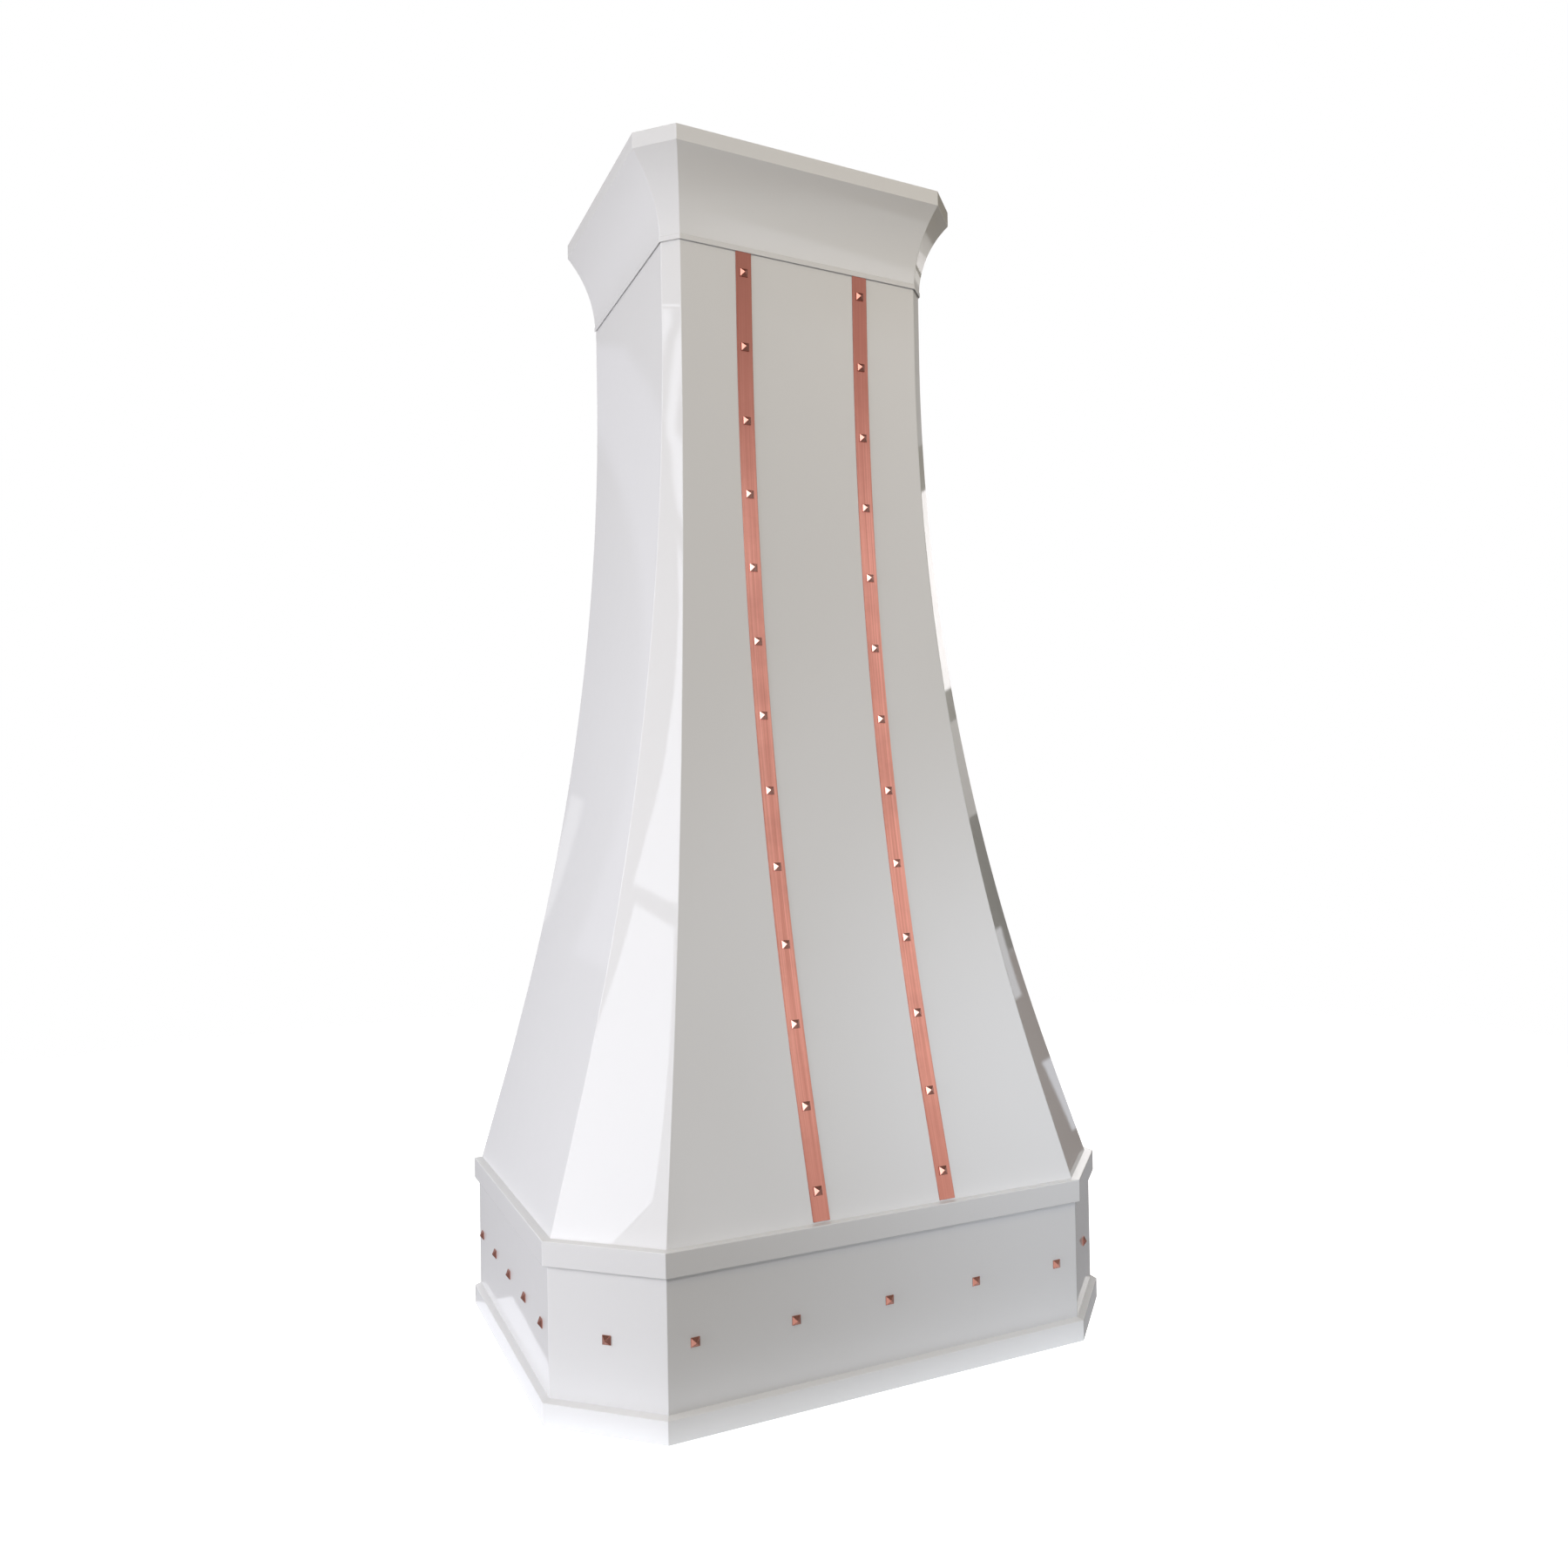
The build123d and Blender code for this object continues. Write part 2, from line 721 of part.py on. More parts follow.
def fan_switch():
    """Speed switch above the panel, its bushing through the panel round the knob's spindle."""
    half = switch_size / 2
    body = block(control_offset - half, control_offset + half, -panel_centre - half, -panel_centre + half,
                 panel_top, panel_top + switch_height)
    body += upright(control_offset, -panel_centre, panel_level, panel_top, bushing_radius)
    top = panel_level + spindle_length
    return body - upright(control_offset, -panel_centre, panel_level - cut_over, top,
                          spindle_radius + running_gap)


def light_button():
    """Round push button through the panel."""
    low = panel_level - button_stand
    high = low + button_height
    cap = upright(-control_offset, -panel_centre, low, high, button_radius)
    cap = fillet(cap.edges().group_by(Axis.Z)[0], button_round)
    return cap + upright(-control_offset, -panel_centre, high, high + button_stem, button_radius / 2)


def light_switch():
    """Push switch above the panel, hollow round the button."""
    half = switch_size / 2
    top = panel_top + switch_height
    body = block(-control_offset - half, -control_offset + half, -panel_centre - half, -panel_centre + half,
                 panel_top, top)
    return body - upright(-control_offset, -panel_centre, panel_top - cut_over,
                          top - lamp_wall, button_radius + button_gap)


# Blower


def blower_box():
    """Sheets of the box over the liner: four walls and a roof with the outlet cut in it."""
    half, front, back = box_half, -box_front, -box_back
    wall = box_sheet
    roof = block(-half, half, front, back, box_top, box_top + wall)
    outlet = block(-scroll_half, scroll_half, -throat_inner, -throat_outer,
                   box_top - cut_over, box_top + wall + cut_over)
    return [
        block(-half, half, front, front + wall, box_bottom, box_top),
        block(-half, half, back - wall, back, box_bottom, box_top),
        block(-half, -half + wall, front + wall, back - wall, box_bottom, box_top),
        block(half - wall, half, front + wall, back - wall, box_bottom, box_top),
        roof - outlet,
    ]


def scroll_point(angle, thickness):
    """Point on the scroll at an angle from +Y, its radius growing from the tongue to the outer throat."""
    share = (angle - tongue_angle) / (2 * pi - tongue_angle)
    radius = tongue_radius + scroll_growth * share + thickness
    return radius * cos(angle) - wheel_depth, radius * sin(angle) + wheel_level


def scroll_face(thickness, top):
    """Outline of the scroll and its throat, the thickness outside the air's path."""
    start = acos((wheel_depth - throat_inner - thickness) / (tongue_radius + thickness))
    points = [scroll_point(angle, thickness) for angle in spread(start, 2 * pi, scroll_point_count)]
    corners = Polyline(points[-1], (points[-1][0], top), (points[0][0], top), points[0])
    return make_face([Spline(points)] + corners.edges())


def blower_housing():
    """Scroll sheet between two cheeks, and the four strips of the rim round the throat."""
    face = Plane.YZ * scroll_face(scroll_sheet, box_top)
    air = Plane.YZ * scroll_face(0, box_top + cut_over)
    wrap = extrude(face, scroll_half, both=True) - extrude(air, far, both=True)
    cheek = extrude(face, scroll_sheet)
    eye = level(-wheel_depth, wheel_level, -far, far, inlet_radius)
    motor_hole = level(-wheel_depth, wheel_level, -far, far, motor_hole_radius)
    reach = cheek_face + throat_flange
    front, back = -throat_inner - scroll_sheet, -throat_outer + scroll_sheet
    low = box_top - scroll_sheet
    return [
        wrap,
        Pos(scroll_half, 0, 0) * cheek - eye,
        Pos(-cheek_face, 0, 0) * cheek - motor_hole,
        block(-reach, reach, front - throat_flange, front, low, box_top),
        block(-reach, reach, back, back + throat_flange, low, box_top),
        block(-reach, -cheek_face, front, back, low, box_top),
        block(cheek_face, reach, front, back, low, box_top),
    ]


def impeller():
    """Squirrel-cage wheel: back plate with its hub, a front ring, and slanted blades between them."""
    half = wheel_half_width
    depth, height = -wheel_depth, wheel_level
    plate = level(depth, height, -half, -half + wheel_sheet, wheel_radius)
    plate += level(depth, height, -half, -half + hub_length, hub_radius)
    ring = level(depth, height, half - wheel_sheet, half, wheel_radius)
    ring -= level(depth, height, half - 2 * wheel_sheet, half + cut_over, wheel_radius - blade_chord)
    reach = wheel_radius - blade_chord / 2 - blade_sheet
    blade = Pos(0, reach, 0) * Rot(X=blade_angle) * Box(2 * (half - wheel_sheet), blade_chord, blade_sheet)
    turn = 360.0 / blade_count
    blades = [Pos(0, depth, height) * Rot(X=turn * i) * blade for i in range(blade_count)]
    return [plate - level(depth, height, -half - cut_over, half, shaft_radius), ring] + blades


def motor_shaft():
    """Shaft from inside the motor to the end of the wheel's hub."""
    start = -motor_face - motor_length + shaft_end_gap
    return level(-wheel_depth, wheel_level, start, -wheel_half_width + hub_length, shaft_radius)


def motor_plate():
    """Round plate that closes the left cheek and carries the motor."""
    rim = motor_hole_radius + motor_plate_rim
    plate = level(-wheel_depth, wheel_level, -motor_face, -cheek_face, rim)
    return plate - level(-wheel_depth, wheel_level, -motor_face - cut_over, -cheek_face + cut_over,
                         motor_neck_radius)


def blower_motor():
    """Motor can with its bearing neck through the plate, round the shaft."""
    end = -motor_face - motor_length
    can = level(-wheel_depth, wheel_level, end, -motor_face, motor_radius)
    can = fillet(can.edges().group_by(Axis.X)[0], motor_round)
    can += level(-wheel_depth, wheel_level, -motor_face, -cheek_face, motor_neck_radius)
    return can - level(-wheel_depth, wheel_level, end + shaft_end_gap / 2, -cheek_face + cut_over,
                       shaft_radius + running_gap)


# Duct collar and damper


def duct_collar():
    """Round collar with a flange on the box, a stop ring under the flaps and holes for the axle."""
    top = collar_bottom + collar_height
    inside = collar_radius - collar_sheet
    collar = upright(0, -duct_depth, collar_bottom, top, collar_radius)
    collar += upright(0, -duct_depth, collar_bottom, collar_bottom + collar_sheet,
                      collar_radius + collar_flange)
    collar -= upright(0, -duct_depth, collar_bottom - cut_over, top + cut_over, inside)
    stop_top = damper_axis - damper_sheet / 2 - seat_gap
    stop = upright(0, -duct_depth, stop_top - collar_sheet, stop_top, collar_radius - collar_sheet / 2)
    stop -= upright(0, -duct_depth, stop_top - 2 * collar_sheet, stop_top + cut_over, inside - stop_width)
    return collar + stop - level(-duct_depth, damper_axis, -far, far, damper_axle_radius)


def damper_axle():
    """Rod across the collar, through both of its walls."""
    return level(-duct_depth, damper_axis, -collar_radius + damper_axle_gap,
                 collar_radius - damper_axle_gap, damper_axle_radius)


def damper_flap(side):
    """Half-round flap with every other knuckle on the axle."""
    reach = damper_knuckle_radius + damper_sheet
    half = damper_radius - 2 * damper_gap
    low, high = damper_axis - damper_sheet / 2, damper_axis + damper_sheet / 2
    disc = upright(0, -duct_depth, low, high, damper_radius)
    near = -duct_depth + side * reach
    flap = disc & block(-far, far, *sorted((near, near + side * far)), -far, far)
    pitch = 2 * half / damper_knuckle_count
    first = 0 if side < 0 else 1
    for i in range(first, damper_knuckle_count, 2):
        x0 = -half + i * pitch + seat_gap
        x1 = -half + (i + 1) * pitch - seat_gap
        flap += level(-duct_depth, damper_axis, x0, x1, damper_knuckle_radius)
        flap += block(x0, x1, *sorted((-duct_depth, near + side)), low, high)
    return flap - level(-duct_depth, damper_axis, -far, far, damper_axle_radius + running_gap)


# Junction box


def junction_span():
    """Lowest and highest corner of the junction box, as x0, x1, y0, y1, z0, z1."""
    return (-junction_offset - junction_width / 2, -junction_offset + junction_width / 2,
            -duct_depth - junction_depth / 2, -duct_depth + junction_depth / 2,
            box_bottom, box_bottom + junction_height)


def junction_box():
    """Open box for the wiring on the liner's roof, beside the blower box."""
    x0, x1, y0, y1, z0, z1 = junction_span()
    wall = junction_sheet
    return block(x0, x1, y0, y1, z0, z1) - block(x0 + wall, x1 - wall, y0 + wall, y1 - wall, z0 + wall,
                                                 z1 + cut_over)


def junction_cover():
    """Flat lid with the cable gland's hole."""
    x0, x1, y0, y1, _, z1 = junction_span()
    lid = block(x0, x1, y0, y1, z1, z1 + junction_sheet)
    return lid - upright(-junction_offset, -duct_depth, z1 - cut_over, z1 + junction_sheet + cut_over,
                         gland_radius)


def cable_gland():
    """Threaded gland through the lid, with a hex nut above it and a bore for the supply cable."""
    x, y = -junction_offset, -duct_depth
    lid = box_bottom + junction_height
    low = lid - gland_tail
    gland = upright(x, y, low, low + gland_length, gland_radius)
    nut = Pos(x, y, lid + junction_sheet) * RegularPolygon(gland_nut_radius, 6)
    gland += extrude(nut, gland_nut_height)
    return gland - upright(x, y, low - cut_over, low + gland_length + cut_over, cable_radius)


def build():
    """Every piece of the hood by name."""
    pieces = {}
    for wall, name in enumerate(wall_names):
        pieces["bell_" + name] = bell_wall(wall)
        pieces["skirt_" + name] = skirt_wall(wall)
    pieces["base_trim"] = base_trim()
    pieces["shoulder_band"] = shoulder_band()
    pieces["crown_cove"] = crown_cove()
    pieces["crown_fascia"] = crown_fascia()
    for side, name in ((-1, "left"), (1, "right")):
        pieces["strap_" + name] = strap(side)
        pieces["strap_studs_" + name] = strap_studs(side)
        pieces["stile_" + name] = stile(side)
        pieces["back_flange_" + name] = back_flange(side)
        pieces["liner_" + name] = liner_side_wall(side)
        pieces["baffle_filter_" + name] = baffle_filter(side)
        pieces["filter_handle_" + name] = filter_handle(side)
        pieces["lamp_can_" + name] = lamp_can(side)
        pieces["lamp_lens_" + name] = lamp_lens(side)
    pieces["skirt_studs"] = skirt_studs()
    pieces["wall_rail_bottom"] = wall_rail(skirt_half - shell_sheet - stile_width, 0)
    pieces["wall_rail_top"] = wall_rail(neck[0] - shell_sheet, neck_rail_bottom)
    pieces["bottom_plate"] = bottom_plate()
    pieces["liner_front"] = liner_front_wall()
    pieces["liner_back"] = liner_back_wall()
    pieces["liner_top"] = liner_roof()
    pieces["liner_screws"] = liner_screws()
    pieces["control_panel"] = control_panel()
    pieces["filter_rail"] = filter_rail()
    pieces["grease_tray"] = grease_tray()
    pieces["fan_knob"] = fan_knob()
    pieces["fan_switch"] = fan_switch()
    pieces["light_button"] = light_button()
    pieces["light_switch"] = light_switch()
    pieces["blower_box"] = blower_box()
    pieces["blower_housing"] = blower_housing()
    pieces["impeller"] = impeller()
    pieces["motor_shaft"] = motor_shaft()
    pieces["motor_plate"] = motor_plate()
    pieces["blower_motor"] = blower_motor()
    pieces["duct_collar"] = duct_collar()
    pieces["damper_axle"] = damper_axle()
    pieces["damper_flap_front"] = damper_flap(-1)
    pieces["damper_flap_back"] = damper_flap(1)
    pieces["junction_box"] = junction_box()
    pieces["junction_cover"] = junction_cover()
    pieces["cable_gland"] = cable_gland()
    return pieces


os.makedirs("parts", exist_ok=True)
for node, piece in build().items():
    solids = piece if isinstance(piece, list) else [piece]
    export_step(Compound(children=[s for p in solids for s in p.solids()]), f"parts/{node}.step")
    print(node, len(solids))
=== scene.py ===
import math

import bmesh
import bpy
from mathutils import Matrix, Vector

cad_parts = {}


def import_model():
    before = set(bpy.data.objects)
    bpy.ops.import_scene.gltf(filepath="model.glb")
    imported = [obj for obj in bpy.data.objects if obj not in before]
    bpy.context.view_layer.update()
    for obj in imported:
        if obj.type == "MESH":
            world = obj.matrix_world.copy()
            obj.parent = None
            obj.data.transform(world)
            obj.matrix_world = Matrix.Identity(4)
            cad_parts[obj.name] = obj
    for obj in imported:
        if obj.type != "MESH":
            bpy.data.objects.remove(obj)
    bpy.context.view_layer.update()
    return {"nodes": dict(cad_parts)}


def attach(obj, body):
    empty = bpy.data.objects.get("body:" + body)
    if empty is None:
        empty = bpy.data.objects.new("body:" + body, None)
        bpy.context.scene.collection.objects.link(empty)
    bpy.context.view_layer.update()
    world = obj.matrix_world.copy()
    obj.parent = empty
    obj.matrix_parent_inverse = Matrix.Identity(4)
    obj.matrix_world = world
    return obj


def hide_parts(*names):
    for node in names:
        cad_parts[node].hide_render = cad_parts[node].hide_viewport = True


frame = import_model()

MM = 0.001

# Sizes of the shell, in mm, the same as the frame's
skirt = (447.7, 600.1, 123.0)
leg_growth = 2.0 - math.sqrt(2.0)
diagonal = math.sqrt(0.5)
bell_inset = 5.0
flare = 217.5
flare_steepness = 1.83
foot = (skirt[0] - bell_inset, skirt[1] - bell_inset, skirt[2] - leg_growth * bell_inset)
neck = (foot[0] - flare, foot[1] - flare, 22.5)
ledge_top = 242.5
neck_top = 1667.5
flare_top = 1565.0
bell_top = 1687.5
bend = math.atan(flare_steepness * flare / (flare_top - ledge_top))
flare_radius = ((math.tan(bend) * (flare_top - ledge_top) - flare)
                / (math.tan(bend) * math.sin(bend) - 1.0 + math.cos(bend)))
flare_end = flare_top - flare_radius * math.sin(bend)
sheet = 1.5
bell_corner, skirt_corner = 3.2, 2.4

# Mouldings: how far each stands out from its wall, and its heights
lip = 3.0
trim_out, trim_height = 9.5, 31.0
band_out, band_bottom, band_depth = 7.5, 209.5, 40.0
trim_depth = 12.0
crown_bottom, crown_top, overall_height = neck_top, 1788.0, 1812.0
fascia_out, fascia_lid = 48.5, 31.5
hem_out, hem_height = 2.75, 7.0
hem_slot_depth, hem_slot_height = 1.3, 4.0

# Straps and the pieces under the liner
strap_x, strap_half, strap_thick, strap_ease = 100.6, 12.7, 1.5, 0.45
stud_ease = 0.3
lamp_x, lens_radius, lens_bottom, lens_top = 250.0, 30.0, 23.6, 25.8
controls_y, knob_x, panel_bottom = -455.53, 60.0, 25.0
liner_screws = [(x, y) for y in (-512.53, -57.5) for x in (-305.0, 0.0, 305.0)]
liner_screws += [(-372.5, -285.01), (372.5, -285.01)]
screw_radius, screw_bottom, screw_top = 4.0, 0.2, 9.8


# Mesh helpers

def make(name, verts, faces, material, body="hood", replaces=(), sharp=32.0):
    """Object from points in mm, smooth but for edges sharper than the angle, riding on a body."""
    mesh = bpy.data.meshes.new(name)
    mesh.from_pydata([Vector(v) * MM for v in verts], [], faces)
    return finish(name, mesh, material, body, replaces, sharp)


def finish(name, mesh, material, body, replaces, sharp):
    """Cleans a mesh, marks its sharp edges and puts it on its body."""
    bm = bmesh.new()
    bm.from_mesh(mesh)
    bmesh.ops.remove_doubles(bm, verts=bm.verts, dist=2e-6)
    bmesh.ops.recalc_face_normals(bm, faces=bm.faces)
    limit = math.radians(sharp)
    for edge in bm.edges:
        edge.smooth = len(edge.link_faces) == 2 and edge.calc_face_angle(0.0) < limit
    for face in bm.faces:
        face.smooth = True
    bm.to_mesh(mesh)
    bm.free()
    mesh.materials.clear()
    mesh.materials.append(material)
    piece = bpy.data.objects.new(name, mesh)
    bpy.context.scene.collection.objects.link(piece)
    normals = piece.modifiers.new("normals", "WEIGHTED_NORMAL")
    normals.mode = "FACE_AREA"
    normals.keep_sharp = True
    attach(piece, body)
    if replaces:
        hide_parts(*replaces)
    return piece


def grown(plan, offset):
    """Plan moved outwards by the offset on every wall."""
    half, depth, leg = plan
    return half + offset, depth + offset, leg + leg_growth * offset


def between(a, b, share):
    """Point or plan part of the way from one to the other."""
    return tuple(p + (q - p) * share for p, q in zip(a, b))


def ring(plan, radius, steps=6):
    """Stations round the plan from left rear to right rear: one list for each end and each corner's arc."""
    half, depth, leg = plan
    corners = [(-half, 0), (-half, leg - depth), (leg - half, -depth),
               (half - leg, -depth), (half, leg - depth), (half, 0)]
    corners = [Vector(c) for c in corners]
    groups = [[corners[0]]]
    for i in range(1, 5):
        before = (corners[i] - corners[i - 1]).normalized()
        after = (corners[i + 1] - corners[i]).normalized()
        turn = before.angle(after)
        out = Vector((before.y, -before.x))
        inward = (after - before).normalized()
        centre = corners[i] + inward * (radius / math.cos(turn / 2))
        arc = []
        for k in range(steps + 1):
            angle = turn * k / steps
            arc.append(centre + radius * Vector((out.x * math.cos(angle) - out.y * math.sin(angle),
                                                 out.x * math.sin(angle) + out.y * math.cos(angle))))
        groups.append(arc)
    groups.append([corners[5]])
    return groups


def wall_stations(groups, wall):
    """The stations of one wall, from the middle of one corner's arc to the middle of the next."""
    start, end = groups[wall], groups[wall + 1]
    return start[len(start) // 2:] + end[:len(end) // 2 + 1]


def strip(rows_out, rows_in):
    """Closed sheet between two grids of points: rows run up the sheet, columns across it."""
    verts, faces = [], []
    rows, columns = len(rows_out), len(rows_out[0])
    for grid in (rows_out, rows_in):
        for row in grid:
            verts += row
    other = rows * columns

    def at(side, i, j):
        return side * other + i * columns + j

    for i in range(rows - 1):
        for j in range(columns - 1):
            faces.append((at(0, i, j), at(0, i, j + 1), at(0, i + 1, j + 1), at(0, i + 1, j)))
            faces.append((at(1, i, j), at(1, i + 1, j), at(1, i + 1, j + 1), at(1, i, j + 1)))
        for j in (0, columns - 1):
            faces.append((at(0, i, j), at(0, i + 1, j), at(1, i + 1, j), at(1, i, j)))
    for j in range(columns - 1):
        for i in (0, rows - 1):
            faces.append((at(0, i, j), at(0, i, j + 1), at(1, i, j + 1), at(1, i, j)))
    return verts, faces


def rounded(points, radius, steps=3):
    """Closed outline with each corner cut to an arc."""
    result = []
    count = len(points)
    for i, point in enumerate(points):
        here = Vector(point[:2])
        size = point[2] if len(point) > 2 else radius
        before = (here - Vector(points[i - 1][:2]))
        after = (Vector(points[(i + 1) % count][:2]) - here)
        turn = before.angle(after)
        if size <= 0 or turn < math.radians(3):
            result.append(here)
            continue
        reach = min(size * math.tan(turn / 2), before.length * 0.49, after.length * 0.49)
        start, end = here - before.normalized() * reach, here + after.normalized() * reach
        for k in range(steps + 1):
            t = k / steps
            result.append((1 - t) ** 2 * start + 2 * t * (1 - t) * here + t * t * end)
    return result


def moulding(name, plan, profile, corner, material, nodes):
    """Profile of outward offset and height carried round the plan in one piece, closed at the wall."""
    stations = []
    for offset, height in profile:
        flat = [p for group in ring(grown(plan, offset), corner) for p in group]
        stations.append([(p.x, p.y, height) for p in flat])
    count, length = len(profile), len(stations[0])
    verts = [p for row in stations for p in row]
    faces = []
    for i in range(count):
        k = (i + 1) % count
        for j in range(length - 1):
            faces.append((i * length + j, i * length + j + 1, k * length + j + 1, k * length + j))
    faces.append([i * length for i in range(count)])
    faces.append([i * length + length - 1 for i in reversed(range(count))])
    return make(name, verts, faces, material, replaces=nodes, sharp=38)


def bell_offset(height):
    """How far the bell stands out from the neck at a height."""
    if height >= flare_top:
        return 0.0
    if height >= flare_end:
        return flare_radius - math.sqrt(flare_radius ** 2 - (flare_top - height) ** 2)
    return flare - (height - ledge_top) * math.tan(bend)


def bell_levels(low, high, count=64):
    """Heights up the bell, close together through the arc."""
    levels = [low, high, flare_end, flare_top]
    levels += [flare_end + (flare_top - flare_end) * i / count for i in range(1, count)]
    levels += [low + (flare_end - low) * i / 6 for i in range(1, 6)]
    return sorted(level for level in levels if low <= level <= high)


# Materials

class Graph:
    """Small wrapper for building a node tree."""

    def __init__(self, tree, coords):
        self.tree = tree
        self.tree.nodes.clear()
        self.coords = self.add("ShaderNodeTexCoord").outputs[coords]

    def add(self, kind, **settings):
        node = self.tree.nodes.new(kind)
        for key, value in settings.items():
            setattr(node, key, value)
        return node

    def link(self, source, target):
        self.tree.links.new(source, target)

    def feed(self, socket, value):
        """Puts a number, a colour or another socket into a socket."""
        if isinstance(value, tuple):
            socket.default_value = (*value, 1.0) if len(socket.default_value) > len(value) else value
        elif isinstance(value, (int, float)):
            socket.default_value = value
        else:
            self.link(value, socket)

    def stretched(self, scale):
        """Object coordinates stretched by a factor on each axis."""
        mapping = self.add("ShaderNodeMapping")
        self.link(self.coords, mapping.inputs["Vector"])
        mapping.inputs["Scale"].default_value = scale
        return mapping.outputs[0]

    def noise(self, scale, detail=2.0, rough=0.5, vector=None):
        """Noise value with its size in features per metre."""
        node = self.add("ShaderNodeTexNoise")
        self.link(vector or self.coords, node.inputs["Vector"])
        node.inputs["Scale"].default_value = scale
        node.inputs["Detail"].default_value = detail
        node.inputs["Roughness"].default_value = rough
        return node.outputs[0]

    def ramp(self, value, low, high, start=0.0, end=1.0, smooth=False):
        """Value mapped from one range to another and held at its ends."""
        node = self.add("ShaderNodeMapRange")
        if smooth:
            node.interpolation_type = "SMOOTHSTEP"
        self.link(value, node.inputs["Value"])
        for key, number in (("From Min", start), ("From Max", end), ("To Min", low), ("To Max", high)):
            node.inputs[key].default_value = number
        return node.outputs[0]

    def mix(self, factor, a, b):
        """Colour between two colours, each a tuple or a socket."""
        node = self.add("ShaderNodeMix", data_type="RGBA")
        self.feed(node.inputs[0], factor)
        self.feed(node.inputs[6], a)
        self.feed(node.inputs[7], b)
        return node.outputs[2]

    def math(self, operation, a, b=0.0):
        """Two values put together."""
        node = self.add("ShaderNodeMath", operation=operation)
        self.feed(node.inputs[0], a)
        self.feed(node.inputs[1], b)
        return node.outputs[0]


class Nodes(Graph):
    """Material with one principled shader."""

    def __init__(self, name):
        self.material = bpy.data.materials.new(name)
        self.material.use_nodes = True
        super().__init__(self.material.node_tree, "Object")
        self.shader = self.add("ShaderNodeBsdfPrincipled")
        out = self.add("ShaderNodeOutputMaterial")
        self.link(self.shader.outputs[0], out.inputs[0])

    def set(self, **values):
        for key, value in values.items():
            self.feed(self.shader.inputs[key.replace("_", " ")], value)

    def bump(self, *layers, coat=False):
        """Bumps stacked in order, each a height and its depth in metres."""
        normal = None
        for height, depth in layers:
            node = self.add("ShaderNodeBump")
            node.inputs["Distance"].default_value = depth
            self.link(height, node.inputs["Height"])
            if normal:
                self.link(normal, node.inputs["Normal"])
            normal = node.outputs[0]
        self.link(normal, self.shader.inputs["Normal"])
        if coat:
            self.link(normal, self.shader.inputs["Coat Normal"])


def white_paint():
    """Thick white gloss over sheet steel: slow waves of the sheet under a fine orange peel."""
    m = Nodes("white_gloss_paint")
    drift = m.noise(2.2, 3.0)
    m.link(m.mix(drift, (0.80, 0.80, 0.80), (0.825, 0.825, 0.825)), m.shader.inputs["Base Color"])
    m.link(m.ramp(m.noise(40.0, 3.0), 0.30, 0.38, 0.3, 0.7), m.shader.inputs["Roughness"])
    m.set(IOR=1.5, Specular_IOR_Level=0.3, Coat_Weight=1.0, Coat_Roughness=0.005, Coat_IOR=1.5)
    waves, ripple, peel = m.noise(4.5, 1.0), m.noise(22.0, 2.0), m.noise(130.0, 2.0, 0.45)
    m.bump((waves, 0.00006), (ripple, 0.000005), (peel, 0.0000012), coat=True)
    return m.material


def copper(name, rough, dull, bright):
    """Copper sheet brushed along its length, browner towards its top and its foot: painted shade standing
    in for the darker reflections there.
    """
    m = Nodes(name)
    lines = m.noise(1.0, 3.0, 0.6, m.stretched((420.0, 3.0, 3.0)))
    grain = m.noise(1.0, 4.0, 0.6, m.stretched((2600.0, 26.0, 26.0)))
    blot = m.noise(14.0, 4.0, 0.6)
    base = m.mix(m.ramp(lines, 0.0, 1.0, 0.35, 0.65), dull, bright)
    base = m.mix(m.ramp(blot, 0.0, 0.3, 0.45, 0.75), base, (0.46, 0.19, 0.145))
    split = m.add("ShaderNodeSeparateXYZ")
    m.link(m.coords, split.inputs[0])
    # Painted shade: the colour browns by height towards the top and the foot, darkening the reflections
    # there.
    brown = m.math("MAXIMUM", m.ramp(split.outputs[2], 0.0, 0.85, 1.15, 1.6, True),
                   m.ramp(split.outputs[2], 0.65, 0.0, 0.22, 0.55, True))
    base = m.mix(brown, base, (0.42, 0.155, 0.11))
    m.link(base, m.shader.inputs["Base Color"])
    m.link(m.ramp(grain, rough - 0.06, rough + 0.07, 0.3, 0.7), m.shader.inputs["Roughness"])
    m.set(Metallic=1.0)
    m.bump((lines, 0.00003), (grain, 0.00001))
    return m.material


def metal(name, colour, dark, rough, grain_scale, depth=0.00002):
    """Bare metal with a directional grain and slow patches."""
    m = Nodes(name)
    grain = m.noise(1.0, 4.0, 0.6, m.stretched(grain_scale))
    patch = m.noise(9.0, 3.0)
    base = m.mix(m.ramp(grain, 0.0, 1.0, 0.3, 0.7), dark, colour)
    base = m.mix(m.ramp(patch, 0.0, 0.3, 0.4, 0.7), base, dark)
    m.link(base, m.shader.inputs["Base Color"])
    m.link(m.ramp(grain, rough - 0.05, rough + 0.08, 0.3, 0.7), m.shader.inputs["Roughness"])
    m.set(Metallic=1.0)
    m.bump((grain, depth))
    return m.material


def galvanised():
    """Zinc-coated sheet with its crystal spangle."""
    m = Nodes("galvanised_sheet")
    cells = m.add("ShaderNodeTexVoronoi", feature="F1")
    m.link(m.coords, cells.inputs["Vector"])
    cells.inputs["Scale"].default_value = 75.0
    tone = m.add("ShaderNodeSeparateColor")
    m.link(cells.outputs["Color"], tone.inputs[0])
    grain = m.noise(500.0, 3.0)
    base = m.mix(tone.outputs[0], (0.50, 0.51, 0.52), (0.68, 0.69, 0.70))
    m.link(base, m.shader.inputs["Base Color"])
    rough = m.math("ADD", m.ramp(tone.outputs[1], 0.26, 0.44), m.ramp(grain, -0.03, 0.05))
    m.link(rough, m.shader.inputs["Roughness"])
    m.set(Metallic=1.0)
    m.bump((tone.outputs[0], 0.00003), (grain, 0.00001))
    return m.material


